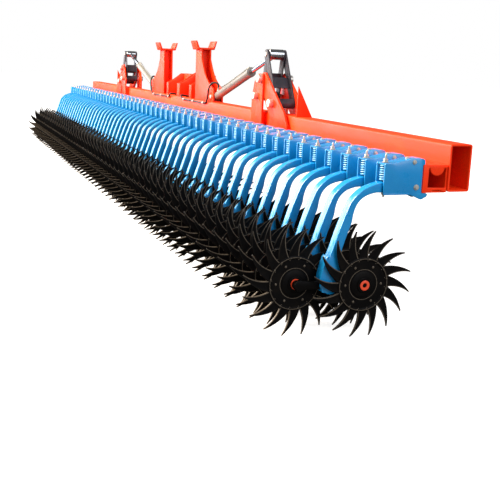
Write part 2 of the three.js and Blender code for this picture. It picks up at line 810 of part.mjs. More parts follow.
// Centre section
const centreX = unitX.slice(wingUnits, wingUnits + centreUnits);
const centreTube = tube(-partX, partX, beamBack, beamFront, beamLow, beamHigh, beamWall);
const towers = [1, -1].map((side) => sided(centreTower(), side));
group.add(
  piece("centre_beam", join([centreTube, ...towers]), orange),
  bank("centre_toolbar", -partX, partX, centreX),
  piece("headstock", headstock(), deepOrange),
);
const topPinHalf = midIn + 2 * midSheet;
const topPin = bar("x", [hitchPinY, topPinZ], -topPinHalf, topPinHalf, hitchPin);
group.add(piece("top_link_pin", topPin, zinc));

// Each side: post, hitch pin, hose, fold gear and wing
const sides = [
  [1, "right"],
  [-1, "left"],
];
for (const [side, word] of sides) {
  const own = (name, body, finish) => group.add(piece(`${name}_${word}`, sided(body, side), finish));
  own("post", post(), deepOrange);
  const hitchEnds = [uprightIn - uprightSheet, uprightOut + uprightSheet];
  own("hitch_pin", bar("x", [hitchPinY, hitchPinZ], ...hitchEnds, hitchPin), zinc);
  own("hose", hose(), rubber);
  own("hinge_pin_back", hingeStub(true), zinc);
  own("hinge_pin_front", hingeStub(false), zinc);
  own("rocker", pairOfLinks(rockerPivot, rockerIn + linkSheet, rockerIn), darkGrey);
  own("fold_link", pairOfLinks(linkPivot, linkIn + linkSheet, linkIn), darkGrey);
  own("cylinder_barrel", barrel(), lightGrey);
  own("cylinder_rod", cylinderRodSolid(), chrome);
  const wingTube = tube(hingeX + partingGap, beamEnd, beamBack, beamFront, beamLow, beamHigh, beamWall);
  own("wing_beam", join([wingTube, wingTower()]), orange);
  const wingX = (side > 0 ? unitX.slice(0, wingUnits) : unitX.slice(-wingUnits)).reverse();
  const joined = side > 0 ? wingX.slice(0, wingUnits - shownUnits) : wingX;
  const ends = side > 0 ? [hingeX + partingGap, toolbarEnd] : [-toolbarEnd, -hingeX - partingGap];
  group.add(bank(`wing_toolbar_${word}`, ...ends, joined));
  addRows(word, joined);
}
addRows("centre", centreX.slice().reverse());

// Two rows of wheels for the units at xs, which rises: the leading row and the trailing row.
function addRows(word, xs) {
  const reach = wheelOffset + hubHalf + clearance + axleCollarWidth;
  const past = reach - wheelOffset;
  for (const [row, y, shift] of [["lead", leadY, wheelOffset], ["trail", trailY, -wheelOffset]]) {
    const places = xs.map((x) => x + shift);
    const body = wheelRow(places, y, places[0] - past, places[places.length - 1] + past);
    group.add(piece(`${row}_wheels_${word}`, body, black));
  }
}

// Units that are built piece by piece, numbered from the right-hand end
for (let i = 0; i < shownUnits; i++) {
  const x = unitX[i];
  const number = i + 1;
  group.add(
    housing(`housing_${number}`, x),
    springRod(`spring_rod_${number}`, x),
    coilSpring(`spring_${number}`, x),
    arm(`arm_${number}`, x),
    walkingBeam(`walking_beam_${number}`, x),
    piece(`lead_wheel_${number}`, singleWheel(x + wheelOffset, leadY), black),
    piece(`trail_wheel_${number}`, singleWheel(x - wheelOffset, trailY), black),
  );
}

export default group;
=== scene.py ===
"""Looks of a folding rotary harrow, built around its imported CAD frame.

Lengths are in millimetres in the machine's frame, as in the part's source: +X is the right-hand
end, +Y the tractor side and +Z up. They become metres where a mesh is made.
"""

from __future__ import annotations

import logging
import math
from collections.abc import Callable, Sequence
from dataclasses import dataclass
from enum import Enum
from typing import Any

import bpy
import numpy as np
from mathutils import Matrix


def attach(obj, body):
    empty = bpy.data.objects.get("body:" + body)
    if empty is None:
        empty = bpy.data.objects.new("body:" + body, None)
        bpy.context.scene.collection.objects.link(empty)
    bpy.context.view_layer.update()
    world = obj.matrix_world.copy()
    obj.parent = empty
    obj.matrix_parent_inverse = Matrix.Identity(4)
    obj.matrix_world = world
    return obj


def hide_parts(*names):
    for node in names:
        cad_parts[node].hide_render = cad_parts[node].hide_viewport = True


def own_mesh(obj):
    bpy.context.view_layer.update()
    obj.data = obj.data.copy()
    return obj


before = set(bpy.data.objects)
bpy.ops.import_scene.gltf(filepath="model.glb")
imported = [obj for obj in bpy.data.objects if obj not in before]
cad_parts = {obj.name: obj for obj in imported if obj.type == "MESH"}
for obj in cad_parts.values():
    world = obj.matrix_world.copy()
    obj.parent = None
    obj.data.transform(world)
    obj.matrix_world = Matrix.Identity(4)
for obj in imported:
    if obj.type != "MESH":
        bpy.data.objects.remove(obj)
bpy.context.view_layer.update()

LOG = logging.getLogger("harrow")
METRE = 0.001
SHARP = math.radians(32)  # faces that meet at more than this angle keep a sharp edge


class Axis(Enum):
    """The direction that a round solid turns about, or that a plate's thickness runs in."""

    X = 0
    Y = 1
    Z = 2

    def place(self, along: np.ndarray, first: np.ndarray, second: np.ndarray) -> np.ndarray:
        """Puts one coordinate along this axis and the other two on the axes that are left.

        Args:
            along: The coordinate along this axis.
            first: The first of the others.
            second: The second of them.

        Returns:
            The places, with their coordinates last.
        """
        parts = [first, second]
        parts.insert(self.value, along)
        return np.stack(np.broadcast_arrays(*parts), axis=-1)


Place = Sequence[float]
Places = Sequence[Sequence[float]]


@dataclass
class Surface:
    """A shape's points and its faces, which are kept in arrays of equal corner count.

    Attributes:
        points: Places in millimetres, one row for each point.
        faces: Arrays of point numbers, one row for each face.
    """

    points: np.ndarray
    faces: list[np.ndarray]

    def volume(self) -> float:
        """The signed volume: the sum of the tetrahedra from the origin to each face's fan.

        Returns:
            The volume, which is below zero where the faces point in.
        """
        total = 0.0
        for faces in self.faces:
            first = self.points[faces[:, 0]]
            for i in range(1, faces.shape[1] - 1):
                cross = np.cross(self.points[faces[:, i]], self.points[faces[:, i + 1]])
                total += float((first * cross).sum())
        return total / 6

    def outward(self) -> Surface:
        """The same shape with its faces pointing out.

        Returns:
            The shape itself.
        """
        if self.volume() < 0:
            self.faces = [faces[:, ::-1] for faces in self.faces]
        return self

    def moved(self, x: float) -> Surface:
        """A copy that is shifted along X."""
        return Surface(self.points + (x, 0, 0), self.faces)

    def mirrored(self, axis: Axis = Axis.X, middle: float = 0.0) -> Surface:
        """A mirror image, with its faces turned round again to point out.

        Args:
            axis: The direction that is reversed.
            middle: The mirror's place along it.

        Returns:
            The image alone.
        """
        points = self.points.copy()
        points[:, axis.value] = 2 * middle - points[:, axis.value]
        return Surface(points, [faces[:, ::-1] for faces in self.faces])

    def sided(self, side: int) -> Surface:
        """The shape itself for the right-hand side, 1, and its mirror image for the left, -1."""
        return self if side > 0 else self.mirrored()

    def paired(self, axis: Axis = Axis.X, middle: float = 0.0) -> Surface:
        """The shape and its mirror image as one."""
        return joined([self, self.mirrored(axis, middle)])

    def repeated(self, offsets: np.ndarray) -> Surface:
        """Copies of the shape, shifted by each row of offsets in millimetres."""
        return copies(self, self.points[None] + offsets[:, None])


def copies(one: Surface, points: np.ndarray) -> Surface:
    """Several shapes that share one shape's faces.

    Args:
        one: The shape whose faces are taken.
        points: Each shape's points, with a first row for the first shape and so on.

    Returns:
        All of them as one shape.
    """
    jump = np.arange(len(points))[:, None, None] * len(one.points)
    faces = [(f[None] + jump).reshape(-1, f.shape[1]) for f in one.faces]
    return Surface(points.reshape(-1, 3), faces)


def joined(parts: Sequence[Surface]) -> Surface:
    """Several shapes as one list of points and faces.

    Args:
        parts: The shapes.

    Returns:
        One shape with all of them.
    """
    starts = np.cumsum([0] + [len(part.points) for part in parts])
    faces = [f + start for part, start in zip(parts, starts) for f in part.faces]
    return Surface(np.concatenate([part.points for part in parts]), faces)


def skin(rows: np.ndarray, ring: bool = False) -> Surface:
    """A closed surface over rows of section points.

    Each row's points are joined round into a section, and quads join it to the next row. Flat faces
    close the first and last section, or the last joins the first where the rows make a ring.

    Args:
        rows: Places as (row, point of the section, 3).
        ring: Whether the last row joins the first.

    Returns:
        The surface, with its faces pointing out.
    """
    index = np.arange(rows.shape[0] * rows.shape[1]).reshape(rows.shape[:2])
    low = index if ring else index[:-1]
    high = np.roll(index, -1, axis=0) if ring else index[1:]
    quads = np.stack([low, np.roll(low, -1, 1), np.roll(high, -1, 1), high], axis=-1)
    faces = [quads.reshape(-1, 4)]
    if not ring:
        faces += [index[:1, ::-1], index[-1:]]
    return Surface(rows.reshape(-1, 3), faces).outward()


def rounded(corners: Places, radius: float, steps: int = 3) -> np.ndarray:
    """An outline with each corner cut by a curve.

    The curve is a quadratic Bezier from a point on one side of the corner to a point on the other,
    with the corner as its control point.

    Args:
        corners: The outline's corners.
        radius: How far from a corner its curve starts.
        steps: How many pieces each curve has.

    Returns:
        The new outline.
    """
    p = np.asarray(corners, float)
    before, after = np.roll(p, 1, 0) - p, np.roll(p, -1, 0) - p
    lengths = [np.linalg.norm(side, axis=1, keepdims=True) for side in (before, after)]
    reach = np.minimum(radius, 0.45 * np.minimum(*lengths))
    start, end = p + before / lengths[0] * reach, p + after / lengths[1] * reach
    t = np.linspace(0, 1, steps + 1)[None, :, None]
    curve = (1 - t) ** 2 * start[:, None] + 2 * t * (1 - t) * p[:, None] + t**2 * end[:, None]
    return curve.reshape(-1, 2)


def inset(outline: np.ndarray, depth: float) -> np.ndarray:
    """The outline moved inwards: each corner shifts along the sum of its sides' inward normals.

    Args:
        outline: A closed outline.
        depth: How far it moves.

    Returns:
        The smaller outline, with as many points.
    """
    side = np.roll(outline, -1, 0) - outline
    side = side / np.linalg.norm(side, axis=1, keepdims=True)
    x, y = outline.T
    turn = np.sign((x * np.roll(y, -1) - y * np.roll(x, -1)).sum())
    normal = turn * np.stack([-side[:, 1], side[:, 0]], axis=1)
    last = np.roll(normal, 1, 0)
    share = 1 + (normal * last).sum(1, keepdims=True)
    return outline + depth * (normal + last) / np.maximum(share, 0.35)


def plate(outline: np.ndarray, low: float, high: float, axis: Axis, soft: float = 1.5) -> Surface:
    """A sheet with softened edges: its outline, inset at both faces, carried through it.

    Args:
        outline: Its corners on the two axes that are left.
        low: Where it starts along the axis.
        high: Where it ends.
        axis: The direction of its thickness.
        soft: How far its edges are softened.

    Returns:
        The sheet.
    """
    s = min(soft, 0.4 * (high - low))
    levels = np.array([low, low + 0.3 * s, low + s, high - s, high - 0.3 * s, high])
    depths = (s, 0.3 * s, 0, 0, 0.3 * s, s)
    flat = np.stack([inset(outline, depth) for depth in depths])
    return skin(axis.place(levels[:, None], flat[..., 0], flat[..., 1]))


def slab(low: Place, high: Place, soft: float = 1.5) -> Surface:
    """A rectangular bar with rounded long edges and softened ends, thickness along X."""
    corners = [(low[1], low[2]), (high[1], low[2]), (high[1], high[2]), (low[1], high[2])]
    return plate(rounded(corners, soft, 2), low[0], high[0], Axis.X, soft)


def turned(profile: Places, axis: Axis, centre: Place, sides: int = 20,
           ring: bool = False) -> Surface:
    """A turned solid: a profile of (place along the axis, radius) carried round the axis.

    Args:
        profile: Its points, as (place along the axis, radius).
        axis: The direction of the axis.
        centre: Where the axis is on the two other axes.
        sides: Facets round it.
        ring: Whether the profile is closed.

    Returns:
        The solid.
    """
    along, radius = np.asarray(profile, float).T[:, :, None]
    angle = 2 * math.pi * np.arange(sides) / sides
    first = centre[0] + radius * np.cos(angle)
    second = centre[1] + radius * np.sin(angle)
    return skin(axis.place(along, first, second), ring)


def two_ended(half: Places, middle: float = 0.0) -> list[Place]:
    """A profile or outline whose other half is its own mirror image about the middle."""
    return [*half, *((2 * middle - a, b) for a, b in reversed(half))]


def spline(points: Places, count: int) -> np.ndarray:
    """Points evenly spread in parameter on the Catmull-Rom curve through the given points.

    Args:
        points: The places that the curve passes.
        count: How many of its places are wanted.

    Returns:
        The curve's places.
    """
    p = np.asarray(points, float)
    p = np.concatenate([[2 * p[0] - p[1]], p, [2 * p[-1] - p[-2]]])
    t = np.linspace(0, len(p) - 3, count)
    i = np.minimum(t.astype(int), len(p) - 4)
    f = (t - i)[:, None]
    a, b, c, d = p[i], p[i + 1], p[i + 2], p[i + 3]
    return 0.5 * (2 * b + (c - a) * f + (2 * a - 5 * b + 4 * c - d) * f**2
                  + (3 * b - a - 3 * c + d) * f**3)


def pipe(path: np.ndarray, radius: float, sides: int = 8, up: Place = (0, 0, 1)) -> Surface:
    """A round tube along a path: circles across the path's direction, squared up to one vector.

    Args:
        path: Its middle line.
        radius: Its radius.
        sides: Facets round it.
        up: A direction that the path never takes.

    Returns:
        The tube, closed at both ends.
    """
    ahead = np.gradient(path, axis=0)
    ahead /= np.linalg.norm(ahead, axis=1, keepdims=True)
    first = np.cross(ahead, np.asarray(up, float))
    first /= np.linalg.norm(first, axis=1, keepdims=True)
    second = np.cross(ahead, first)
    angle = 2 * math.pi * np.arange(sides) / sides
    around = first[:, None] * np.cos(angle)[:, None] + second[:, None] * np.sin(angle)[:, None]
    return skin(path[:, None] + radius * around)


def hollow(x0: float, x1: float, low: Place, high: Place, wall: float, corner: float) -> Surface:
    """A rectangular tube along X: the outer and inner rounded outlines joined into one ring.

    Args:
        x0: Where it starts.
        x1: Where it ends.
        low: Its lowest corner, as Y and Z.
        high: Its highest corner.
        wall: Its thickness.
        corner: The outer radius of its long edges.

    Returns:
        The tube.
    """
    def outline(depth: float) -> np.ndarray:
        """The outline at a depth below the outer one."""
        a, b, c, d = low[0] + depth, low[1] + depth, high[0] - depth, high[1] - depth
        return rounded([(a, b), (c, b), (c, d), (a, d)], max(corner - depth, 3), 4)

    edge = 1.2
    stations = [(x0, edge), (x0 + edge, 0), (x1 - edge, 0), (x1, edge), (x1, wall - edge),
                (x1 - edge, wall), (x0 + edge, wall), (x0, wall - edge)]
    flat = np.stack([outline(depth) for _, depth in stations])
    along = np.array([x for x, _ in stations])[:, None]
    return skin(Axis.X.place(along, flat[..., 0], flat[..., 1]), ring=True)


def circle(y: float, z: float, radius: float, start: float, end: float, steps: int) -> np.ndarray:
    """Points of an arc about a place, with its two angles in degrees."""
    angle = np.radians(np.linspace(start, end, steps + 1))
    return np.stack([y + radius * np.cos(angle), z + radius * np.sin(angle)], axis=1)


def strap(p: Place, q: Place, radius: float, steps: int = 10) -> np.ndarray:
    """The outline of a link: two half circles about its eyes, joined by straight sides.

    Args:
        p: One eye's middle.
        q: The other's.
        radius: Of both ends.
        steps: How many pieces each half circle has.

    Returns:
        The outline.
    """
    lean = math.degrees(math.atan2(q[1] - p[1], q[0] - p[0]))
    near = circle(*p, radius, lean + 90, lean + 270, steps)
    return np.concatenate([near, circle(*q, radius, lean - 90, lean + 90, steps)])


def bolt(axis: Axis, at: float, centre: Place, size: float) -> Surface:
    """A hexagon bolt's head on its washer, with the domed end of the head outwards.

    Args:
        axis: The direction in which the head stands out.
        at: Where the face that it stands on is, along the axis.
        centre: The bolt's two other coordinates.
        size: The head's radius over its corners.

    Returns:
        The head with its washer.
    """
    washer = [(-0.05, 1.2), (0.12, 1.25), (0.2, 1.2), (0.2, 0.6)]
    head = [(0.1, 0.95), (0.75, 1.0), (0.88, 0.86), (0.92, 0.4)]
    return joined([turned([(at + a * size, r * size) for a, r in profile], axis, centre, sides)
                   for profile, sides in ((washer, 16), (head, 6))])


def along_x(places: Place | np.ndarray) -> np.ndarray:
    """Shifts along X only, one row for each place."""
    return np.multiply.outer(np.asarray(places, float), (1, 0, 0))



# Finishes


def linear(colour: str) -> tuple[float, float, float, float]:
    """Turns an sRGB hex colour to the linear values that the shader takes.

    Args:
        colour: As #rrggbb.

    Returns:
        Red, green, blue and an alpha of 1.
    """
    parts = np.array([int(colour[i : i + 2], 16) / 255 for i in (1, 3, 5)])
    low, high = parts / 12.92, ((parts + 0.055) / 1.055) ** 2.4
    return (*np.where(parts <= 0.04045, low, high).tolist(), 1.0)


def add(tree: Any, kind: str, inputs: dict[Any, Any] | None = None, **settings: Any) -> Any:
    """Adds a shader node.

    Args:
        tree: The material's node tree.
        kind: The node's type, after the word ShaderNode.
        inputs: Values, or sockets to link, by the name or number of the input.
        settings: Values for the node's own settings.

    Returns:
        The node.
    """
    made = tree.nodes.new(f"ShaderNode{kind}")
    for key, value in settings.items():
        setattr(made, key, value)
    for key, value in (inputs or {}).items():
        if isinstance(value, bpy.types.NodeSocket):
            tree.links.new(value, made.inputs[key])
        else:
            made.inputs[key].default_value = value
    return made


def fresh_tree(owner: Any) -> Any:
    """Empties the node tree of a material or world, and returns it.

    Args:
        owner: The material or world.

    Returns:
        Its tree, with no nodes.
    """
    owner.use_nodes = True
    owner.node_tree.nodes.clear()
    return owner.node_tree


@dataclass(frozen=True)
class Finish:
    """A coated or bare metal, with patches of wear, fine grain and a fine bump.

    Attributes:
        name: The material's name.
        colour: The surface as new.
        worn: What shows where it has faded, dulled or worn.
        roughness: Of the clean surface.
        metallic: 0 for paint and rubber, 1 for bare metal.
        coat: Strength of a clear gloss over the colour.
        gloss: How strongly the surface itself mirrors, 0.5 for plain paint.
        patch_mm: The size of the patches of wear.
        grain_mm: The size of the grain in the surface.
        bump: How deep the grain is, in millimetres.
        wear: The share of the surface that is worn, from 0 to 1.
        stretch: How many times longer the grain is along the machine's length.
    """

    name: str
    colour: str
    worn: str
    roughness: float
    metallic: float = 0.0
    coat: float = 0.0
    gloss: float = 0.5
    patch_mm: float = 140.0
    grain_mm: float = 3.0
    bump: float = 0.08
    wear: float = 0.35
    stretch: float = 1.0

    def material(self) -> bpy.types.Material:
        """Builds the material once and returns it.

        Returns:
            The material.
        """
        made = bpy.data.materials.get(self.name)
        if made:
            return made
        made = bpy.data.materials.new(self.name)
        tree = fresh_tree(made)
        place = add(tree, "TexCoord").outputs["Object"]
        if self.stretch != 1.0:
            scale = (1 / self.stretch, 1.0, 1.0)
            place = add(tree, "Mapping", {"Vector": place, "Scale": scale}).outputs[0]
        patches, grain = (
            add(tree, "TexNoise", {"Vector": place, "Scale": 1 / METRE / size, "Detail": detail,
                                   "Roughness": fade}).outputs[0]
            for size, detail, fade in ((self.patch_mm, 6.0, 0.62), (self.grain_mm, 3.0, 0.55)))
        edge = 0.72 - 0.3 * self.wear  # the level of the patches above which the surface is worn
        clean, dull = max(self.roughness - 0.07, 0.03), min(self.roughness + 0.16, 1.0)
        # The share of wear and the roughness follow the patches, the brightness follows the grain
        keys = ("Value", "From Min", "From Max", "To Min", "To Max")
        worn, speck, rough = (
            add(tree, "MapRange", dict(zip(keys, values))).outputs[0]
            for values in ((patches, edge - 0.14, edge + 0.16, 0.0, 0.85),
                           (grain, 0.35, 0.7, 0.86, 1.06), (patches, 0.3, 0.75, clean, dull)))
        base = add(tree, "Mix", {0: worn, 6: linear(self.colour), 7: linear(self.worn)},
                   data_type="RGBA")
        shade = add(tree, "HueSaturation", {"Color": base.outputs[2], "Value": speck})
        bump = add(tree, "Bump", {"Height": grain, "Strength": 0.6, "Distance": self.bump * METRE})
        body = add(tree, "BsdfPrincipled",
                   {"Base Color": shade.outputs[0], "Roughness": rough, "Metallic": self.metallic,
                    "Coat Weight": self.coat, "Coat Roughness": 0.12,
                    "Specular IOR Level": self.gloss, "Normal": bump.outputs[0]})
        add(tree, "OutputMaterial", {"Surface": body.outputs[0]})
        return made


# Orange-red machine enamel on rolled steel tube: glossy, with lighter sun-faded patches.
FRAME_ENAMEL = Finish("orange_frame_enamel", "#ff3a0a", "#ff571c", 0.45, coat=0.03, gloss=0.2,
                      patch_mm=260, grain_mm=4, stretch=2.5)
# The same enamel on the cut plates of posts, headstock and towers, a shade deeper.
PLATE_ENAMEL = Finish("deep_orange_plate_enamel", "#ff3406", "#ff4c14", 0.45, coat=0.03,
                      gloss=0.2, patch_mm=180, grain_mm=4)
# Mid-blue powder coat on pressed plates and arms: an even gloss that shows broad pale highlights.
UNIT_COAT = Finish("blue_powder_coat", "#048acc", "#149ad6", 0.3, coat=0.6, gloss=0.45,
                   patch_mm=120, grain_mm=2.5, wear=0.25)
# The same blue on wound spring wire, with near-white patches that are painted highlights on the
# curls.
SPRING_COAT = Finish("blue_spring_coat", "#5ab8ea", "#cfe9f6", 0.36, coat=0.2, patch_mm=25,
                     grain_mm=1.5)
# Black e-coat on forged claws and pressed discs: dull, with brown dust in the hollows.
CLAW_BLACK = Finish("black_forged_coat", "#060505", "#15100a", 0.5, gloss=0.1, patch_mm=60,
                    grain_mm=2, bump=0.12, wear=0.3)
# Pale brown-grey on the claws' edges, two thin rings of the disc and its studs: a painted highlight
# where they catch the light.
CLAW_EDGE_HIGHLIGHT = Finish("worn_claw_edge", "#6b6154", "#3a332b", 0.45, metallic=0.5, patch_mm=12,
                   grain_mm=1, bump=0.04, wear=0.5)
# Bright zinc plate on nuts, washers and pins: pale, with a faint yellow bloom.
ZINC = Finish("zinc_plate", "#d2cfc6", "#aba695", 0.32, metallic=0.55, patch_mm=14,
              grain_mm=0.8, bump=0.03)
# Dark grey-violet primer on the fold links.
LINK_GREY = Finish("dark_grey_primer", "#38353d", "#56525a", 0.5, gloss=0.3, patch_mm=60,
                   grain_mm=2)
# Light grey enamel on the cylinder's barrel, streaked with dust.
BARREL_GREY = Finish("light_grey_enamel", "#77756f", "#4e4a42", 0.4, coat=0.1, patch_mm=70,
                     grain_mm=2, stretch=3)
# Hard chrome on the cylinder's rod: a mirror with fine turning marks.
ROD_CHROME = Finish("hard_chrome", "#c4c7ca", "#9fa3a6", 0.16, metallic=1.0, patch_mm=50,
                    grain_mm=0.6, bump=0.01)
# Black rubber of the hydraulic hoses, greyed with dust.
HOSE_RUBBER = Finish("black_hose_rubber", "#141414", "#34322f", 0.62, patch_mm=30, grain_mm=1.2)
# Fresh orange-red enamel of the axle caps.
CAP_ENAMEL = Finish("axle_cap_enamel", "#f4512c", "#d8401f", 0.34, coat=0.3, patch_mm=20,
                    grain_mm=1.5)


def enter(name: str, data: Any) -> bpy.types.Object:
    """Adds an object to the scene.

    Args:
        name: The object's name.
        data: Its mesh, lamp or camera.

    Returns:
        The object.
    """
    made = bpy.data.objects.new(name, data)
    bpy.context.scene.collection.objects.link(made)
    return made


def stand(made: bpy.types.Object, axes: Sequence[np.ndarray], place: np.ndarray) -> None:
    """Turns an object to its three axes and puts it at its place, in metres."""
    rows = np.column_stack([*axes, place]).tolist()
    made.matrix_world = Matrix([*rows, [0, 0, 0, 1]])


def piece(name: str, shape: Surface, finish: Finish, body: str, slot: str,
          *stands_for: str) -> bpy.types.Object:
    """Makes a piece of the machine that rides on a body.

    Args:
        name: The piece's name.
        shape: Its surface, in millimetres.
        finish: Its material.
        body: The CAD body that it moves with.
        slot: Not used.
        stands_for: CAD nodes that it replaces.

    Returns:
        The object, at the origin.
    """
    mesh = bpy.data.meshes.new(name)
    faces = [face for group in shape.faces for face in group.tolist()]
    mesh.from_pydata((shape.points * METRE).tolist(), [], faces)
    mesh.polygons.foreach_set("use_smooth", np.ones(len(mesh.polygons), bool))
    mesh.set_sharp_from_angle(angle=SHARP)
    mesh.materials.append(finish.material())
    made = enter(name, mesh)
    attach(made, body)
    if stands_for:
        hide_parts(*stands_for)
    LOG.info("%s: %d faces on %s", name, len(faces), body)
    return made


# The machine's main places, as in the part's source

PITCH = 190.0
WING_UNITS, CENTRE_UNITS = 13, 26
UNITS = CENTRE_UNITS + 2 * WING_UNITS
SHOWN = 2  # units at the right-hand end whose nodes are separate in the CAD
UNIT_X = ((UNITS - 1) / 2 - np.arange(UNITS)) * PITCH
TEETH = 16
TIP = 265.0
AXLE_Z = TIP * math.cos(math.pi / TEETH)
WHEEL_SHIFT = 47.0  # from an arm's middle to its wheel's
LEAD_Y, TRAIL_Y = -104.0, -424.0
ROWS = (("lead", LEAD_Y, 1), ("trail", TRAIL_Y, -1))
FOOT_Y = (LEAD_Y + TRAIL_Y) / 2
BEAM_BACK, BEAM_FRONT, BEAM_LOW, BEAM_HIGH = 321.0, 445.0, 702.0, 934.0
BEAM_MID = (BEAM_BACK + BEAM_FRONT) / 2
BEAM_PAST = 55.0  # from the last arm's middle to the beam's end
BAR_BACK, BAR_FRONT, BAR_LOW, BAR_HIGH = 183.0, 320.7, 698.0, 834.0
HINGE = (CENTRE_UNITS * PITCH / 2, 1175.0)
BASE = (1100.0, 980.0)  # the pivot of a cylinder's base, as X and Z
PARTING = 2.0  # from the hinge to each beam's end
CLEAR = 0.3  # between pieces that lie against each other
SINK = 1.0  # how far a plate goes into the piece that it is welded to


class Section(Enum):
    """A stretch of the machine that folds as one, with its side: 1 is the right-hand one."""

    RIGHT = 1
    CENTRE = 0
    LEFT = -1

    @property
    def word(self) -> str:
        """The section's name, as in the nodes' names."""
        return self.name.lower()

    @property
    def body(self) -> str:
        """The CAD body that the section's fixed pieces ride on."""
        return f"wing_{self.word}" if self.value else "centre"

    @property
    def units(self) -> np.ndarray:
        """The middles of the section's joined units along X."""
        inner, outer = WING_UNITS, WING_UNITS + CENTRE_UNITS
        start, end = {1: (SHOWN, inner), 0: (inner, outer), -1: (outer, UNITS)}[self.value]
        return UNIT_X[start:end]

    @property
    def ends(self) -> tuple[float, float]:
        """Where the section's beam starts and ends along X."""
        inner, outer = HINGE[0] + PARTING, float(UNIT_X[0]) + BEAM_PAST
        past = HINGE[0] - PARTING
        return {1: (inner, outer), 0: (-past, past), -1: (-outer, -inner)}[self.value]

    def node(self, kind: str) -> str:
        """The CAD node of the section's beam or toolbar."""
        return f"wing_{kind}_{self.word}" if self.value else f"centre_{kind}"


@dataclass
class ClawWheel:
    """A pressed disc with sixteen curved claws round it and a hub in its middle, about x = 0.

    Attributes:
        root: Radius at which a claw leaves the disc.
        lead: How far round a claw's tip is ahead of its root, in degrees.
        half_root: Half of a claw's width where it leaves the disc.
        half_tip: Half of its width at its tip.
        thick: A claw's thickness at its root.
        rows: Stations along a claw.
        sides: Facets of the disc and hub.
    """

    root: float = 118.0
    lead: float = 17.0
    half_root: float = 28.5
    half_tip: float = 2.6
    thick: float = 11.0
    rows: int = 7
    sides: int = 24

    def stations(self) -> tuple[np.ndarray, np.ndarray, np.ndarray]:
        """Along a claw: the radius, half of the width, and the angle of each claw's middle line.

        Returns:
            The three, with the stations along their last axis.
        """
        s = np.linspace(0, 1, self.rows)
        radius = self.root + (TIP - self.root) * s
        tips = math.pi + math.pi / TEETH * (1 + 2 * np.arange(TEETH))
        middle = tips[:, None] - np.radians(self.lead) * (1 - s**1.22)
        return radius, self.half_root * (1 - s) + self.half_tip, middle

    def claws(self, y: float) -> Surface:
        """All claws of the wheel whose axle is at y.

        A claw's middle line runs from its root to its tip with the radius, while its angle gains
        the lead. Its width tapers to the tip, and its section is a flat blade with sharp edges and
        a shallow dish on both faces.

        Args:
            y: Y of the axle.

        Returns:
            The claws as one shape.
        """
        radius, half, middle = self.stations()
        across = np.array([-1, -0.8, 0, 0.8, 1, 0.8, 0, -0.8])
        through = np.array([0, 0.5, 0.26, 0.5, 0, -0.5, -0.26, -0.5])
        thick = self.thick * np.linspace(1, 0.45, self.rows)
        angle = middle[:, :, None] + across * (half / radius)[:, None]
        return self.around(y, angle, radius[:, None], through * thick[:, None])

    def edges(self, y: float) -> Surface:
        """Painted highlights: a line along each claw's leading edge, thin rings on the disc, and
        its studs.

        Args:
            y: Y of the axle.

        Returns:
            All of them as one shape.
        """
        radius, half, middle = self.stations()
        across, through = np.array([-4, 0, 0, -4]), np.array([-1, -1, 1, 1])
        angle = middle[:, :, None] + (half[:, None] + across + 0.6) / radius[:, None]
        thick = self.thick * np.linspace(0.56, 0.26, self.rows)
        lines = self.around(y, angle, radius[:, None] - 1, through * thick[:, None])
        # Thin rings on both faces of the disc, in the pale colour of a painted highlight.
        rims = [turned([(a, r), (b, r), (b, r + 3), (a, r + 3)], Axis.X, (y, AXLE_Z), self.sides,
                       ring=True).paired()
                for a, b, r in ((8, 9.6, 126), (4, 5.4, 73))]
        # The studs join them, so they take the same painted highlight.
        return joined([lines, *rims, self.studs(y)])

    @staticmethod
    def around(y: float, angle: np.ndarray, radius: np.ndarray, through: np.ndarray) -> Surface:
        """One closed shape for each claw, from the angles, radii and depths of its sections.

        Args:
            y: Y of the axle.
            angle: Of each point, by claw, station and point.
            radius: Of each station.
            through: X of each point.

        Returns:
            The shapes as one.
        """
        points = np.stack([np.broadcast_to(through, angle.shape), y + radius * np.sin(angle),
                           AXLE_Z + radius * np.cos(angle)], axis=-1)
        return copies(skin(points[0]), points).outward()

    def disc(self, y: float) -> Surface:
        """The disc with its raised rim, flange and hub, as one turned ring.

        Args:
            y: Y of the axle.

        Returns:
            The disc.
        """
        half = [(19, 16), (19, 34), (17, 37), (13, 39), (11, 60), (8, 66), (4.5, 69),
                (4, 118), (8, 123), (8.5, 130), (5, 135)]
        return turned(two_ended(half), Axis.X, (y, AXLE_Z), self.sides, ring=True)

    @staticmethod
    def studs(y: float) -> Surface:
        """Rivets at the claws' roots and six bolts on the disc, on the side that faces +X.

        Args:
            y: Y of the axle.

        Returns:
            All of them as one shape.
        """
        parts = []
        for count, reach, size, level in ((TEETH, 126.5, 4.5, 8), (6, 96, 7, 3.5)):
            angle = 2 * math.pi * (np.arange(count) + 0.5) / count
            dome = [(level - 1, size), (level + 0.5 * size, 0.85 * size),
                    (level + 0.8 * size, 0.35 * size)]
            places = np.stack([0 * angle, y + reach * np.sin(angle),
                               AXLE_Z + reach * np.cos(angle)], axis=1)
            parts.append(turned(dome, Axis.X, (0, 0), 8).repeated(places))
        return joined(parts)


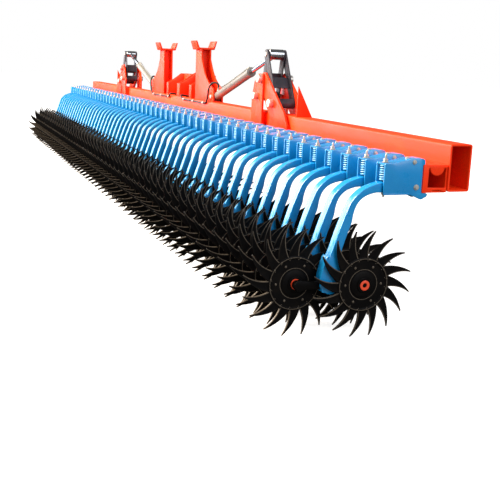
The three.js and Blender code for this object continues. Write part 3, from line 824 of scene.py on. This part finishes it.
@dataclass
class Unit:
    """One sprung arm with its housing, spring, walking beam and two clawed wheels, about x = 0.

    Attributes:
        fine: Whether it is close to the camera and gets finer facets.
        half: Half the width over the housing's plates.
        sheet: A housing plate's thickness.
        heel: Y of the housing's back edge.
        sill: Z of the housing's lower edge.
        crown: Z of the housing's top behind the toolbar's hook.
        lid: Z of the lid over the spring.
        pivot: The arm's pivot, as Y and Z.
        arm_half: Half of the arm's width.
        arm_top: Z of the arm's level top under the spring.
        curls: Turns of the spring.
        wire: Radius of the spring's wire.
        coil: Radius of the spring to the wire's middle.
    """

    fine: bool = False
    half: float = 43.0
    sheet: float = 8.0
    heel: float = -25.0
    sill: float = 692.0
    crown: float = 866.0
    lid: float = 842.0
    pivot: tuple[float, float] = (152.0, 726.0)
    arm_half: float = 27.0
    arm_top: float = 750.0
    curls: int = 7
    wire: float = 3.4
    coil: float = 22.0

    def housing(self) -> Surface:
        """Two side plates hooked round the toolbar, the lid over the spring and a lip below.

        Returns:
            The housing.
        """
        back, inner = BAR_BACK - CLEAR, self.half - self.sheet
        corners = [
            (self.heel, self.sill), (119, self.sill), (back + 1, 664), (back + 33, 680),
            (back + 36, 692), (back + 26, BAR_LOW - CLEAR), (back, BAR_LOW - CLEAR),
            (back, BAR_HIGH + CLEAR), (back + 11, BAR_HIGH + CLEAR), (back + 11, self.crown - 9),
            (back - 6, self.crown), (121, self.crown - 3), (24, self.lid), (self.heel, self.lid),
        ]
        lid = [(self.heel + 4, 834), (24, 834), (back - 4, 856), (back - 4, 864.5),
               (121, 861.5), (24, 840.7), (self.heel + 4, 840.7)]
        low, high = self.sill - 1, self.sill + 6
        lip = rounded([(self.heel, low), (118, low), (118, high), (self.heel, high)], 2, 2)
        side = joined([
            plate(rounded(corners, 9, 4 if self.fine else 2), inner, self.half, Axis.X, 1.6),
            plate(lip, self.half - 2, self.half + 1.6, Axis.X, 1),
        ])
        return joined([side.paired(), plate(np.array(lid), -inner - SINK, inner + SINK, Axis.X, 1)])

    def fasteners(self) -> Surface:
        """The spring rod with its nuts and washer, and the bolts of the housing, all zinc.

        Returns:
            All of them as one shape.
        """
        top = self.lid + CLEAR
        rod = [(676, 5), (678, 5.5), (876, 5.5), (879, 3.5)]
        washer = [(top, 15), (top + 0.6, 16), (top + 2.6, 16), (top + 3.2, 15)]
        nut = [(top + 3, 10.3), (top + 4, 11), (top + 15, 11), (top + 17, 9.6)]
        low = [(685.8, 10), (686.8, 11), (698.6, 11), (699.6, 10)]
        hook_nut = [(858, 9), (859, 10), (867, 10), (869, 6)]  # on the lid near its front
        upright = [turned(profile, Axis.Z, (0, y), sides) for profile, y, sides in
                   ((rod, 0, 10), (washer, 0, 18), (nut, 0, 6), (low, 0, 6), (hook_nut, 118, 6))]
        bolts = [bolt(Axis.X, self.half, (y, z), size)
                 for y, z, size in ((*self.pivot, 11.5), (133, 847, 9))]
        return joined([*upright, joined(bolts).paired()])

    def spring(self) -> Surface:
        """A helix of round wire between the arm's top and the lid's under side.

        Returns:
            The spring.
        """
        steps = (24 if self.fine else 12) * self.curls
        angle = np.linspace(0, 2 * math.pi * self.curls, steps + 1)
        z = np.linspace(self.arm_top + self.wire, BAR_HIGH - self.wire, len(angle))
        path = np.stack([self.coil * np.cos(angle), self.coil * np.sin(angle), z], axis=1)
        return pipe(path, self.wire, 8 if self.fine else 6)

    def arm(self) -> Surface:
        """The bent arm: a rounded rectangle carried between the arm's outer and inner edges.

        Returns:
            The arm.
        """
        outer = [(174, 750), (60, 750), (-20, 750), (-69, 739), (-123, 716), (-174, 669),
                 (-198, 622), (-216, 575), (-234, 527), (-266, 432), (-290, 372), (-304, 330)]
        inner = [(174, 700), (60, 700), (-20, 700), (-61, 699), (-113, 682), (-148, 649),
                 (-165, 605), (-172, 560), (-188, 515), (-212, 440), (-226, 380), (-230, 340)]
        count, corner, steps = (44, 0.24, 3) if self.fine else (24, 0.28, 2)
        high, low = spline(outer, count), spline(inner, count)
        across, depth = rounded([(-1, -1), (1, -1), (1, 1), (-1, 1)], corner, steps).T
        middle, half = (high + low) / 2, (high - low) / 2
        flat = middle[:, None] + half[:, None] * depth[None, :, None]
        x = np.broadcast_to(self.arm_half * across, flat.shape[:2])
        return skin(np.stack([x, flat[..., 0], flat[..., 1]], axis=-1))

    def foot(self) -> Surface:
        """The bracket at the arm's foot: two cheeks astride the walking beam and a ridge behind.

        Returns:
            The bracket.
        """
        cheek = np.concatenate([
            [(-226, 372), (-216, 300)], circle(FOOT_Y, AXLE_Z, 46, 10, -160, 10),
            [(-318, 250), (-319, 304), (-302, 374), (-268, 402)],
        ])
        ridge = [(-319, 304), (-309, 226), (-292, 222), (-290, 300), (-286, 404), (-296, 392)]
        width = self.arm_half - 0.4
        return joined([
            plate(cheek, 13, self.arm_half + 0.7, Axis.X, 1.2).paired(),
            plate(rounded(ridge, 5, 2), -width, width, Axis.X, 1.2),
        ])

    def arm_and_foot(self) -> Surface:
        """The arm with its foot bracket."""
        return joined([self.arm(), self.foot()])

    def foot_pin(self) -> Surface:
        """The pivot bolt of the walking beam, with its heads outside the cheeks."""
        return bolt(Axis.X, self.arm_half, (FOOT_Y, AXLE_Z), 13).paired()

    def walking_beam(self) -> Surface:
        """A black bar, deepest in its middle, with a boss and a stub axle at each end.

        Returns:
            The beam with its axles.
        """
        top = [(TRAIL_Y - 30, 262), (TRAIL_Y, 289), (-380, 278), (FOOT_Y, 283),
               (-150, 278), (LEAD_Y, 289), (LEAD_Y + 30, 262)]
        low = [(LEAD_Y, 230), (-150, 240), (FOOT_Y, 236), (-380, 240), (TRAIL_Y, 230)]
        stub = [(0, 24), (27, 22), (27.1, 14), (66, 14), (66.3, 13)]
        stubs = [turned([(side * a, r) for a, r in stub], Axis.X, (y, AXLE_Z), 16)
                 for _, y, side in ROWS]
        return joined([plate(rounded(top + low, 16, 3), -11, 11, Axis.X, 3), *stubs])

    def caps(self) -> Surface:
        """The axle caps, a ring with a hole at each axle's end, and a seal ring inside each hub.

        Returns:
            The caps and rings as one shape.
        """
        cap = [(66.4, 11), (66.4, 23), (68, 25), (71, 24.5), (72.2, 21), (71.8, 13), (69, 11)]
        seal = [(21, 22), (21, 26), (27.4, 26), (27.4, 22)]
        sides = 24 if self.fine else 12
        return joined([turned([(side * a, r) for a, r in ring], Axis.X, (y, AXLE_Z), sides, True)
                       for _, y, side in ROWS for ring in (cap, seal)])


@dataclass(frozen=True)
class Kind:
    """A sort of piece that each unit has.

    Attributes:
        one: The name of a separate unit's piece, before its number.
        many: The name of the joined piece, before its section.
        make: Works out the shape for a unit.
        finish: Its material.
        slot: The record's material slot.
        body: The body of a separate unit's piece, with # for its number.
        node: The CAD node of a separate unit's piece, before its number, if it has one.
    """

    one: str
    many: str
    make: Callable[[Unit], Surface]
    finish: Finish
    slot: str
    body: str
    node: str = ""


KINDS = (
    Kind("housing_plates", "housings", Unit.housing, UNIT_COAT, "unit_paint", "wing_right",
         "housing"),
    Kind("rod_and_bolts", "rods_and_bolts", Unit.fasteners, ZINC, "zinc", "wing_right",
         "spring_rod"),
    Kind("coil_spring", "coil_springs", Unit.spring, SPRING_COAT, "spring_paint", "wing_right",
         "spring"),
    Kind("bent_arm", "bent_arms", Unit.arm_and_foot, UNIT_COAT, "unit_paint", "arm_#", "arm"),
    Kind("foot_bolt", "foot_bolts", Unit.foot_pin, ZINC, "zinc", "arm_#"),
    Kind("rocking_beam", "rocking_beams", Unit.walking_beam, CLAW_BLACK, "wheel_iron", "beam_#",
         "walking_beam"),
    Kind("axle_caps", "axle_caps", Unit.caps, CAP_ENAMEL, "beam_paint", "beam_#"),
)


@dataclass
class Bank:
    """All the units of the machine, placed along the toolbars and dressed.

    Attributes:
        near: How many units from the right-hand end have fine facets.
    """

    near: int = 5

    def build(self) -> None:
        """Makes the two separate units, then each section's joined units."""
        for number in range(1, SHOWN + 1):
            self.separate(number)
        for section in Section:
            self.joined_units(section)

    def separate(self, number: int) -> None:
        """A unit whose nodes are all separate in the CAD.

        Args:
            number: The unit's, from 1 at the right-hand end.
        """
        x, n = float(UNIT_X[number - 1]), str(number)
        for kind in KINDS:
            nodes = [f"{kind.node}_{n}"] if kind.node else []
            made = piece(f"{kind.one}_{n}", kind.make(Unit(fine=True)).moved(x), kind.finish,
                         kind.body.replace("#", n), kind.slot, *nodes)
            if kind.node == "spring":
                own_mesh(made)
        self.wheels([(ClawWheel(rows=12, sides=48), [x])], "", n, n)

    def joined_units(self, section: Section) -> None:
        """The units of a section that the CAD joins to its toolbar, and its two rows of wheels.

        Args:
            section: The stretch whose units are made.
        """
        word, last = section.word, UNIT_X[self.near - 1]
        fine = [x for x in section.units if x >= last]
        plain = [x for x in section.units if x < last]
        for kind in KINDS:
            shapes = [kind.make(unit).repeated(along_x(xs))
                      for unit, xs in ((Unit(fine=True), fine), (Unit(), plain)) if xs]
            piece(f"{kind.many}_{word}", joined(shapes), kind.finish, section.body, kind.slot)
        self.wheels([(ClawWheel(rows=10, sides=32), fine), (ClawWheel(), plain)], "s", word,
                    f"row_{word}")

    def wheels(self, groups: Sequence[tuple[ClawWheel, Place]], plural: str, tag: str,
               body: str) -> None:
        """Makes both rows' wheels and the painted highlight lines on their edges.

        Args:
            groups: Each kind of wheel with the middles of the units that have it.
            plural: The letter that the names take for more than one wheel.
            tag: The end of the names.
            body: The end of the bodies' names.
        """
        for row, y, side in ROWS:
            sets = [(wheel, along_x(np.array(xs) + side * WHEEL_SHIFT))
                    for wheel, xs in groups if xs]
            whole = [joined([wheel.claws(y), wheel.disc(y)]).repeated(at) for wheel, at in sets]
            lines = [wheel.edges(y).repeated(at) for wheel, at in sets]
            piece(f"{row}_claw_wheel{plural}_{tag}", joined(whole), CLAW_BLACK, f"{row}_{body}",
                  "wheel_iron", f"{row}_wheel{plural}_{tag}")
            # Pale lines on the claws' edges, the disc's rings and the studs: painted highlight.
            piece(f"{row}_claw_edges_{tag}", joined(lines), CLAW_EDGE_HIGHLIGHT, f"{row}_{body}",
                  "wheel_iron")


@dataclass
class Frame:
    """The main beam and the toolbar of each section.

    Attributes:
        beam_wall: The main beam's wall.
        bar_wall: The toolbar's wall.
        beam_corner: The outer radius of the main beam's long edges.
        bar_corner: The outer radius of the toolbar's long edges.
        short: How far a wing's toolbar ends before its beam.
    """

    beam_wall: float = 10.0
    bar_wall: float = 8.0
    beam_corner: float = 14.0
    bar_corner: float = 10.0
    short: float = 12.0

    def build(self) -> None:
        """Makes both tubes of each section."""
        for section in Section:
            x0, x1 = section.ends
            beam = hollow(x0, x1, (BEAM_BACK, BEAM_LOW), (BEAM_FRONT, BEAM_HIGH),
                          self.beam_wall, self.beam_corner)
            bar = hollow(x0 + self.short * (section is Section.LEFT),
                         x1 - self.short * (section is Section.RIGHT),
                         (BAR_BACK, BAR_LOW), (BAR_FRONT, BAR_HIGH), self.bar_wall, self.bar_corner)
            for name, tube, kind in (("main_beam", beam, "beam"), ("toolbar_tube", bar, "toolbar")):
                piece(f"{name}_{section.word}", tube, FRAME_ENAMEL, section.body, "beam_paint",
                      section.node(kind))
            if section.value:
                end = self.end_frame().sided(section.value)
                piece(f"toolbar_end_{section.word}", end, FRAME_ENAMEL, section.body, "beam_paint")

    @staticmethod
    def end_frame() -> Surface:
        """The welded frame on a toolbar's outer end.

        It has a wide back bar, a top bar with a round lobe that hangs from it, and a bottom bar
        with a notch.

        Returns:
            The frame of the right-hand side.
        """
        x0, x1 = UNIT_X[0] + 40, UNIT_X[0] + 49
        bars = [[(184, 699), (212, 699), (214, 833), (184, 833)],
                [(212, 819), (319, 819), (319, 833), (212, 833)],
                [(212, 699), (232, 699), (243, 711), (284, 711), (300, 702), (319, 699),
                 (319, 722), (212, 724)]]
        lobe = np.concatenate([[(300, 826), (218, 826)], circle(259, 822, 40, 180, 360, 10)])
        parts = [plate(np.array(bar), x0, x1, Axis.X, 1.2) for bar in bars]
        return joined([*parts, plate(lobe, x0 - 1, x1 + 1.5, Axis.X, 1.5)])


@dataclass
class SidePart:
    """A sub-assembly that stands on each side of the machine.

    Attributes:
        side: 1 for the right-hand side, -1 for the left.
    """

    side: int

    def own(self, name: str, shape: Surface, finish: Finish, body: str, slot: str,
            *nodes: str) -> None:
        """Makes a piece of this side, whose word takes the place of * in names."""
        name, body, *nodes = (text.replace("*", Section(self.side).word)
                              for text in (name, body, *nodes))
        piece(name, shape.sided(self.side), finish, body, slot, *nodes)


def from_hinge(*points: Place) -> list[tuple[float, float]]:
    """Places measured outward and up from the hinge, as X and Z."""
    return [(HINGE[0] + a, HINGE[1] + b) for a, b in points]


@dataclass
class FoldGear(SidePart):
    """The towers, hinge pins, links and cylinders that fold one wing.

    Attributes:
        sheet: A tower plate's thickness.
        out: Y of the back face of the fixed tower.
        rocker: The rocker's pivot, outward and up from the hinge.
        link: The fold link's pivot, outward and up from the hinge.
        knuckle: Where the rocker, link and rod meet, outward and up from the hinge.
        rocker_room: Half of the room between the rocker's plates.
        link_room: Half of the room between the fold link's plates.
        link_sheet: Thickness of the rocker's and fold link's plates.
    """

    sheet: float = 15.0
    out: float = 275.0
    rocker: tuple[float, float] = (-75.0, -128.0)
    link: tuple[float, float] = (195.0, -170.0)
    knuckle: tuple[float, float] = (0.0, 178.0)
    rocker_room: float = 56.3
    link_room: float = 66.6
    link_sheet: float = 10.0

    def build(self) -> None:
        """Makes the gear of this side."""
        self.towers()
        self.pins()
        self.links()
        self.cylinder()

    def towers(self) -> None:
        """The plates on the centre beam's end, and those on the wing's with the fin further out."""
        foot = BAR_HIGH + CLEAR
        start, end = HINGE[0] - 186, HINGE[0] - PARTING
        corners = [(start, foot), (HINGE[0] + 34, foot), *from_hinge(
            (34, 37), (-62, 37), (-136, -20), (-186, -140))]
        fixed = self.tower(rounded(corners, 10, 3), self.out, start + 2, end - 0.5, BEAM_HIGH - 2)
        self.own("fixed_tower_*", fixed, PLATE_ENAMEL, "centre", "beam_paint")
        start, end = HINGE[0] + 158, HINGE[0] + 482
        moving = np.concatenate([
            [(start, foot), (end, foot)], from_hinge((482, -306), (420, -226), (42, 45)),
            circle(*HINGE, 45, 90, 270, 12), from_hinge((72, -190), (158, -262)),
        ])
        plates = self.tower(moving, self.out + self.sheet + CLEAR, start + 2, end - 2, 867)
        near = HINGE[0] + 560
        fin = plate(rounded([(324, 930), (443, 930), (330, 1142)], 3, 2), near, near + 12, Axis.X)
        self.own("moving_tower_*", joined([plates, fin]), PLATE_ENAMEL, "wing_*", "beam_paint")

    def tower(self, outline: np.ndarray, out: float, start: float, end: float,
              high: float) -> Surface:
        """A pair of tower plates astride the beam, with the webs that join them to it.

        Args:
            outline: A plate's outline, as X and Z.
            out: Y of the back plate's outer face.
            start: Where the webs start along X.
            end: Where they end.
            high: Z of their tops.

        Returns:
            The tower.
        """
        sheet = plate(outline, out, out + self.sheet, Axis.Y, 1.6)
        web = slab((start, out + SINK, BAR_HIGH + CLEAR + SINK), (end, BEAM_BACK + SINK, high))
        return joined([sheet, web]).paired(Axis.Y, BEAM_MID)

    def pins(self) -> None:
        """The hinge pins with their heads, and the pins of the rocker and the link."""
        face = self.out
        head = turned([(face + 30, 20), (face - CLEAR, 20), (face - CLEAR, 29), (face - 6, 31),
                       (face - 30, 31), (face - 34, 26), (face - 35, 12)], Axis.Y, HINGE, 24)
        for place, shape in (("back", head), ("front", head.mirrored(Axis.Y, BEAM_MID))):
            self.own(f"hinge_pin_{place}_head_*", shape, ZINC, "centre", "zinc",
                     f"hinge_pin_{place}_*")
        for name, pivot, out, radius, body in (
            ("rocker_pin_*", self.rocker, face, 27, "centre"),
            ("link_pin_*", self.link, face + self.sheet + CLEAR, 30, "wing_*"),
        ):
            half = [(out - 35, 10), (out - 34, radius - 3), (out - 31, radius), (out, radius),
                    (out + 2, radius - 1), (out + 2, 18)]
            bar = turned(two_ended(half, BEAM_MID), Axis.Y, from_hinge(pivot)[0], 24)
            self.own(name, bar, ZINC, body, "zinc")

    def links(self) -> None:
        """The pair of rocker plates and the pair of link plates, with their bushes and knuckle."""
        knuckle = from_hinge(self.knuckle)[0]
        for name, pivot, near, body in (("rocker", self.rocker, self.rocker_room, "rocker"),
                                        ("fold_link", self.link, self.link_room, "link")):
            at = from_hinge(pivot)[0]
            outer, inner = BEAM_MID - near - self.link_sheet, BEAM_MID - near
            bush = two_ended([(outer, 19), (outer, 35)], BEAM_MID)
            shape = joined([
                plate(strap(at, knuckle, 36), outer, inner, Axis.Y, 2).paired(Axis.Y, BEAM_MID),
                turned(bush, Axis.Y, at, 24, ring=True),
                self.cross_sheet(at, knuckle, near + SINK),
            ])
            self.own(f"{name}_plates_*", shape, LINK_GREY, f"{body}_*", "link_paint", f"{name}_*")
        half = [(BEAM_MID - 84, 8), (BEAM_MID - 82, 17), (BEAM_MID - 77, 18)]
        pin = turned(two_ended(half, BEAM_MID), Axis.Y, knuckle, 20)
        self.own("knuckle_pin_*", pin, ZINC, "link_*", "zinc")

    @staticmethod
    def cross_sheet(at: Place, knuckle: Place, reach: float) -> Surface:
        """The sheet, 84 mm long and 10 thick, that joins a pair of link plates.

        Args:
            at: The eye that the plates turn on, as X and Z.
            knuckle: Their other eye.
            reach: From the beam's middle to each end of the sheet.

        Returns:
            The sheet.
        """
        start, end = np.array(at), np.array(knuckle)
        ahead = (end - start) / np.linalg.norm(end - start)
        across = np.array([-ahead[1], ahead[0]])
        middle = start + 0.42 * (end - start)
        corners = [middle + a * ahead * 42 + b * across * 5
                   for a, b in ((-1, -1), (1, -1), (1, 1), (-1, 1))]
        return plate(np.array(corners), BEAM_MID - reach, BEAM_MID + reach, Axis.Y, 1)

    def on_line(self, *parts: Surface) -> Surface:
        """Lays shapes that are built along X from their pivot onto the cylinder's line.

        Args:
            parts: Shapes about the base's pivot, with the cylinder along X.

        Returns:
            All of them as one shape.
        """
        shape = joined(parts)
        end = from_hinge(self.knuckle)[0]
        lean = math.atan2(end[1] - BASE[1], end[0] - BASE[0])
        x, y, z = shape.points.T
        along = BASE[0] + x * math.cos(lean) - z * math.sin(lean)
        up = BASE[1] + x * math.sin(lean) + z * math.cos(lean)
        return Surface(np.stack([along, BEAM_MID + y, up], axis=1), shape.faces)

    def cylinder(self) -> None:
        """The barrel with its gland, ports and base eye, and the rod with its end eye."""
        body = [(16, 20), (18, 33), (30, 35), (872, 35), (874, 39), (903, 39), (905, 35),
                (905, 18.4), (180, 18.4), (180, 12)]
        barrel = turned(body, Axis.X, (0, 0), 32)
        eye = turned(two_ended([(-34, 19), (-34, 33), (-32, 35)]), Axis.Y, (0, 0), 24, ring=True)
        feed = pipe(spline([(60, 0, 52), (64, 0, 60), (90, 0, 58), (300, 0, 46), (700, 0, 46),
                            (836, 0, 50), (850, 0, 53)], 30), 5, 8, (0, 1, 0))
        self.own("barrel_tube_*", self.on_line(barrel, eye, feed), BARREL_GREY, "barrel_*",
                 "barrel_paint", "cylinder_barrel_*")
        ports = [turned([(30, 11), (44, 11), (44, 8), (54, 8), (55, 5)], Axis.Z, (x, 0), 12)
                 for x in (60, 850)]
        self.own("barrel_ports_*", self.on_line(*ports), ZINC, "barrel_*", "zinc")
        reach = math.dist(BASE, from_hinge(self.knuckle)[0])
        rod = turned([(642, 17), (644, 18), (reach - 30, 18), (reach - 28, 17)], Axis.X, (0, 0), 24)
        end = turned(two_ended([(-55.8, 18.2), (-55.8, 36), (-54, 38)]), Axis.Y, (reach, 0), 28,
                     ring=True)
        self.own("chromed_rod_*", self.on_line(rod, end), ROD_CHROME, "rod_*", "rod_chrome",
                 "cylinder_rod_*")


@dataclass
class Post(SidePart):
    """A post that holds up a folded wing: two flared plates, a web and a saddle.

    Attributes:
        middle: X of the post's middle.
        width: Its width above the flare.
        sheet: A plate's thickness.
        spread: Between the outer faces of its plates.
        saddle_floor: Z of the face that the folded beam meets.
        saddle_top: Z of the prongs' tips.
        saddle_sheet: The saddle's thickness.
        gap: Half of the room between the prongs.
        flare: The flared edge, outward from the post and up from the beam's top.
    """

    middle: float = 680.0
    width: float = 180.0
    sheet: float = 12.0
    spread: float = 96.0
    saddle_floor: float = 1413.0
    saddle_top: float = 1475.0
    saddle_sheet: float = 18.0
    gap: float = 67.0
    flare: tuple[tuple[float, float], ...] = ((380, 118), (284, 147), (207, 180), (126, 232),
                                              (60, 300), (0, 376))

    def build(self) -> None:
        """Makes the post with its saddle and the pin of the cylinder's base."""
        foot, low = BEAM_HIGH + CLEAR, self.saddle_floor - self.saddle_sheet
        left, right = self.middle - self.width / 2, self.middle + self.width / 2
        back, front = BEAM_MID - self.spread / 2, BEAM_MID + self.spread / 2
        edge = [(right + a, BEAM_HIGH + b) for a, b in self.flare]
        far = edge[0][0]
        side = np.concatenate([[(left, low + SINK), (left, foot), (far, foot)], spline(edge, 21),
                               [(right, low + SINK)]])
        gap, floor, top = self.gap, self.saddle_floor, self.saddle_top
        cradle = two_ended([(-gap - 12, low), (-gap - 36, top), (-gap - 24, top), (-gap, floor)])
        shape = joined([
            plate(side, back, back + self.sheet, Axis.Y, 2).paired(Axis.Y, BEAM_MID),
            slab((left + 2, back + 2, foot), (far - 2, front - 2, foot + 8)),
            slab((self.middle - 8, back + SINK, foot), (self.middle + 8, front - SINK, low + SINK)),
            plate(rounded(np.array(cradle) + (BEAM_MID, 0), 6, 3), left, right, Axis.X, 2),
        ])
        self.own("post_*_plates", shape, PLATE_ENAMEL, "centre", "headstock_paint", "post_*")
        half = [(back - 14, 10), (back - 12, 17), (back - 1, 18)]
        pin = turned(two_ended(half, BEAM_MID), Axis.Y, BASE, 20)
        self.own("base_pin_*", pin, ZINC, "centre", "zinc")


@dataclass
class Hoses(SidePart):
    """A hydraulic hose, clipped along the main beam's back face, with its clips.

    Attributes:
        radius: The hose's radius.
        room: Between the hose and the beam.
        clips: Where the clips are along X.
    """

    radius: float = 9.0
    room: float = 0.6
    clips: tuple[float, ...] = (290.0, 610.0, 930.0)

    def build(self) -> None:
        """Makes one side's hose with its clips."""
        run = BEAM_BACK - self.radius - self.room
        over = BEAM_HIGH + self.radius + self.room
        level = BEAM_HIGH - 2 * self.radius
        points = [(200, 472, over + 40), (200, BEAM_FRONT, over + 9), (200, BEAM_MID, over),
                  (200, BEAM_BACK, over + 9), (209, run - 9, over), (280, run - 0.8, level + 0.8),
                  (360, run, level), (590, run, level), (960, run, level),
                  (1030, run, level + 22), (1064, run, 985), (1084, run + 2, 1050),
                  (1106, 332, 1096), (1132, 366, 1104), (1145, 383, 1086), (1144, 383, 1054)]
        tube = pipe(spline(points, 90), self.radius, 10, (0.3, 0.4, 1))
        self.own("hydraulic_hose_*", tube, HOSE_RUBBER, "centre", "hose_rubber", "hose_*")
        clip = turned(two_ended([(-15, 3), (-12, 15)]), Axis.X, (run + 2, level), 12)
        self.own("hose_clips_*", clip.repeated(along_x(self.clips)), ZINC, "centre", "zinc")


@dataclass
class Headstock:
    """The three-point frame that hangs the machine on the tractor.

    Attributes:
        face: Y of the uprights' front edges, behind the cross tubes' front faces.
        crown: Z of the uprights' tops.
        heel: Y of the uprights' back edges.
        ramp: The curved edge that rises from an upright's low back to its top, as Y and Z.
    """

    face: float = 568.0
    crown: float = 1158.0
    heel: float = 333.0
    ramp: tuple[tuple[float, float], ...] = ((333, 1062), (372, 1077), (412, 1100), (452, 1128),
                                             (486, 1155))

    def build(self) -> None:
        """Makes the two outer uprights, the middle one and the cross tubes."""
        seat, back = BEAM_HIGH + CLEAR, BEAM_FRONT + CLEAR
        ramp = spline(self.ramp, 9)
        rear = [(back, seat), (self.heel, seat)]
        outer = np.concatenate([
            [(back, 760), *rear], ramp, [(492, self.crown), (self.face, self.crown),
             (self.face, 700), (683.9, 620), (683.9, 540), (500, 540)],
        ])
        middle = np.concatenate([
            rear, ramp, [(500, 1160), (614, 1218), (671, 1218), (671, 1090), (self.face, 1066),
                         (self.face, seat)],
        ])
        tubes = [hollow(-469, 469, (500, low), (580, low + 80), 8, 8) for low in (1078, 620)]
        sheets = [slab((start, self.heel, seat + 2), (end, self.heel + 14, 1061), 2)
                  for start, end in ((379, 471), (-60, 60))]
        uprights = [plate(rounded(outline, 5, 2), near, near + sheet, Axis.X, 2)
                    for near, sheet, outline in ((380, 14, outer), (456, 14, outer),
                                                 (45, 16, middle))]
        pair = joined([*uprights, sheets[0]]).paired()
        piece("headstock_plates", joined([*tubes, pair, sheets[1]]), PLATE_ENAMEL, "centre",
              "headstock_paint", "headstock")


@dataclass(frozen=True)
class View:
    """The photograph's camera.

    Attributes:
        place: Its place in millimetres.
        heading: The direction that it looks in, in degrees from +X.
        down: How far it looks down, in degrees.
        roll: How far it is turned about its line of sight, in degrees.
        lens: Its focal length in millimetres.
        film: The width of its picture in millimetres.
        far: How far it sees, in metres.
    """

    place: tuple[float, float, float] = (8260.7, -1984.9, 1265.5)
    heading: float = 158.989
    down: float = 12.659
    roll: float = -2.232
    lens: float = 59.03
    film: float = 36.0
    far: float = 200.0

    def build(self) -> None:
        """Adds the camera and makes it the scene's."""
        a, b, c = (math.radians(v) for v in (self.heading, self.down, self.roll))
        ahead = np.array([math.cos(b) * math.cos(a), math.cos(b) * math.sin(a), -math.sin(b)])
        right = np.array([math.sin(a), -math.cos(a), 0.0])
        below = np.cross(ahead, right)
        x = math.cos(c) * right + math.sin(c) * below
        y = math.sin(c) * right - math.cos(c) * below
        data = bpy.data.cameras.new("photograph_view")
        data.lens, data.sensor_width, data.clip_end = self.lens, self.film, self.far
        made = enter("photograph_view", data)
        stand(made, (x, y, -ahead), np.array(self.place) * METRE)
        bpy.context.scene.camera = made


@dataclass(frozen=True)
class Studio:
    """A pale floor, a pale surround and soft lamps.

    Attributes:
        half: Half of the floor's width, in metres.
    """

    half: float = 60.0

    def build(self) -> None:
        """Adds the floor, the world and the lamps."""
        self.floor()
        self.world()
        self.lamp("window", (-1.5, -9.0, 7.5), 9.0, 6500, "#fff0dc", (-0.5, 0.3, 0.3))
        self.lamp("sky", (-12.0, -7.0, 4.0), 8.0, 1300, "#f4f8ff", (1.0, 0.0, 0.6))
        self.lamp("fill", (12.0, 2.0, 6.0), 7.0, 620, "#f6f8ff", (0.0, 0.3, 0.4))

    @staticmethod
    def lamp(name: str, place: Place, size: float, power: float, colour: str, aim: Place) -> None:
        """Adds a square soft lamp.

        Args:
            name: The lamp's name.
            place: Where it is, in metres.
            size: Its width in metres.
            power: In watts.
            colour: Of its light.
            aim: Where it points, in metres.
        """
        data = bpy.data.lights.new(name, "AREA")
        data.shape, data.size, data.energy = "SQUARE", size, power
        data.color = linear(colour)[:3]
        back = np.array(place) - np.array(aim)
        back /= np.linalg.norm(back)
        side = np.cross((0, 0, 1), back)
        side /= np.linalg.norm(side)
        stand(enter(name, data), (side, np.cross(back, side), back), np.array(place))

    @staticmethod
    def seen(tree: Any) -> Any:
        """1 for rays from the camera, and 0 for rays that carry light or reflections."""
        return add(tree, "LightPath").outputs["Is Camera Ray"]

    def floor(self) -> None:
        """A wide floor that looks white, darker only in the machine's shadow."""
        mesh = bpy.data.meshes.new("floor")
        corners = ((-1, -1), (1, -1), (1, 1), (-1, 1))
        mesh.from_pydata([(a * self.half, b * self.half, 0) for a, b in corners], [],
                         [(0, 1, 2, 3)])
        made = bpy.data.materials.new("pale_floor")
        tree = fresh_tree(made)
        plain = add(tree, "BsdfDiffuse", {"Color": linear("#626262")})
        lit = add(tree, "BsdfDiffuse", {"Color": linear("#b4b4b4")})
        glow = add(tree, "Emission", {"Color": (1, 1, 1, 1), "Strength": 0.78})
        white = add(tree, "AddShader", {0: lit.outputs[0], 1: glow.outputs[0]})
        mix = add(tree, "MixShader",
                  {0: self.seen(tree), 1: plain.outputs[0], 2: white.outputs[0]})
        add(tree, "OutputMaterial", {"Surface": mix.outputs[0]})
        mesh.materials.append(made)
        floor = enter("floor", mesh)

    def world(self) -> None:
        """A surround that looks white, lights softly and is grey in reflections."""
        made = bpy.data.worlds.new("surround")
        bpy.context.scene.world = made
        tree = fresh_tree(made)
        glossy = add(tree, "LightPath").outputs["Is Glossy Ray"]
        soft = add(tree, "MapRange", {"Value": glossy, "To Min": 0.55, "To Max": 0.16})
        strength = add(tree, "MapRange", {"Value": self.seen(tree),
                                                    "To Min": soft.outputs[0], "To Max": 1.0})
        glow = add(tree, "Background", {"Color": (1, 1, 1, 1), "Strength": strength.outputs[0]})
        add(tree, "OutputWorld", {"Surface": glow.outputs[0]})


def dress_pins(nodes: dict[str, bpy.types.Object]) -> None:
    """Gives the CAD nodes that stay in view their finish.

    Args:
        nodes: The frame's nodes by name.
    """
    for name in ("hitch_pin_right", "hitch_pin_left", "top_link_pin"):
        nodes[name].data.materials.clear()
        nodes[name].data.materials.append(ZINC.material())


def main() -> None:
    """Builds the camera, the studio and the machine."""
    logging.basicConfig(level=logging.INFO, format="%(message)s")
    bpy.context.scene.view_settings.view_transform = "Standard"
    sides = [part(side) for side in (1, -1) for part in (FoldGear, Post, Hoses)]
    for part in (View(), Studio(), Frame(), *sides, Headstock(), Bank()):
        part.build()
    dress_pins(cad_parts)


if __name__ == "__main__":
    main()
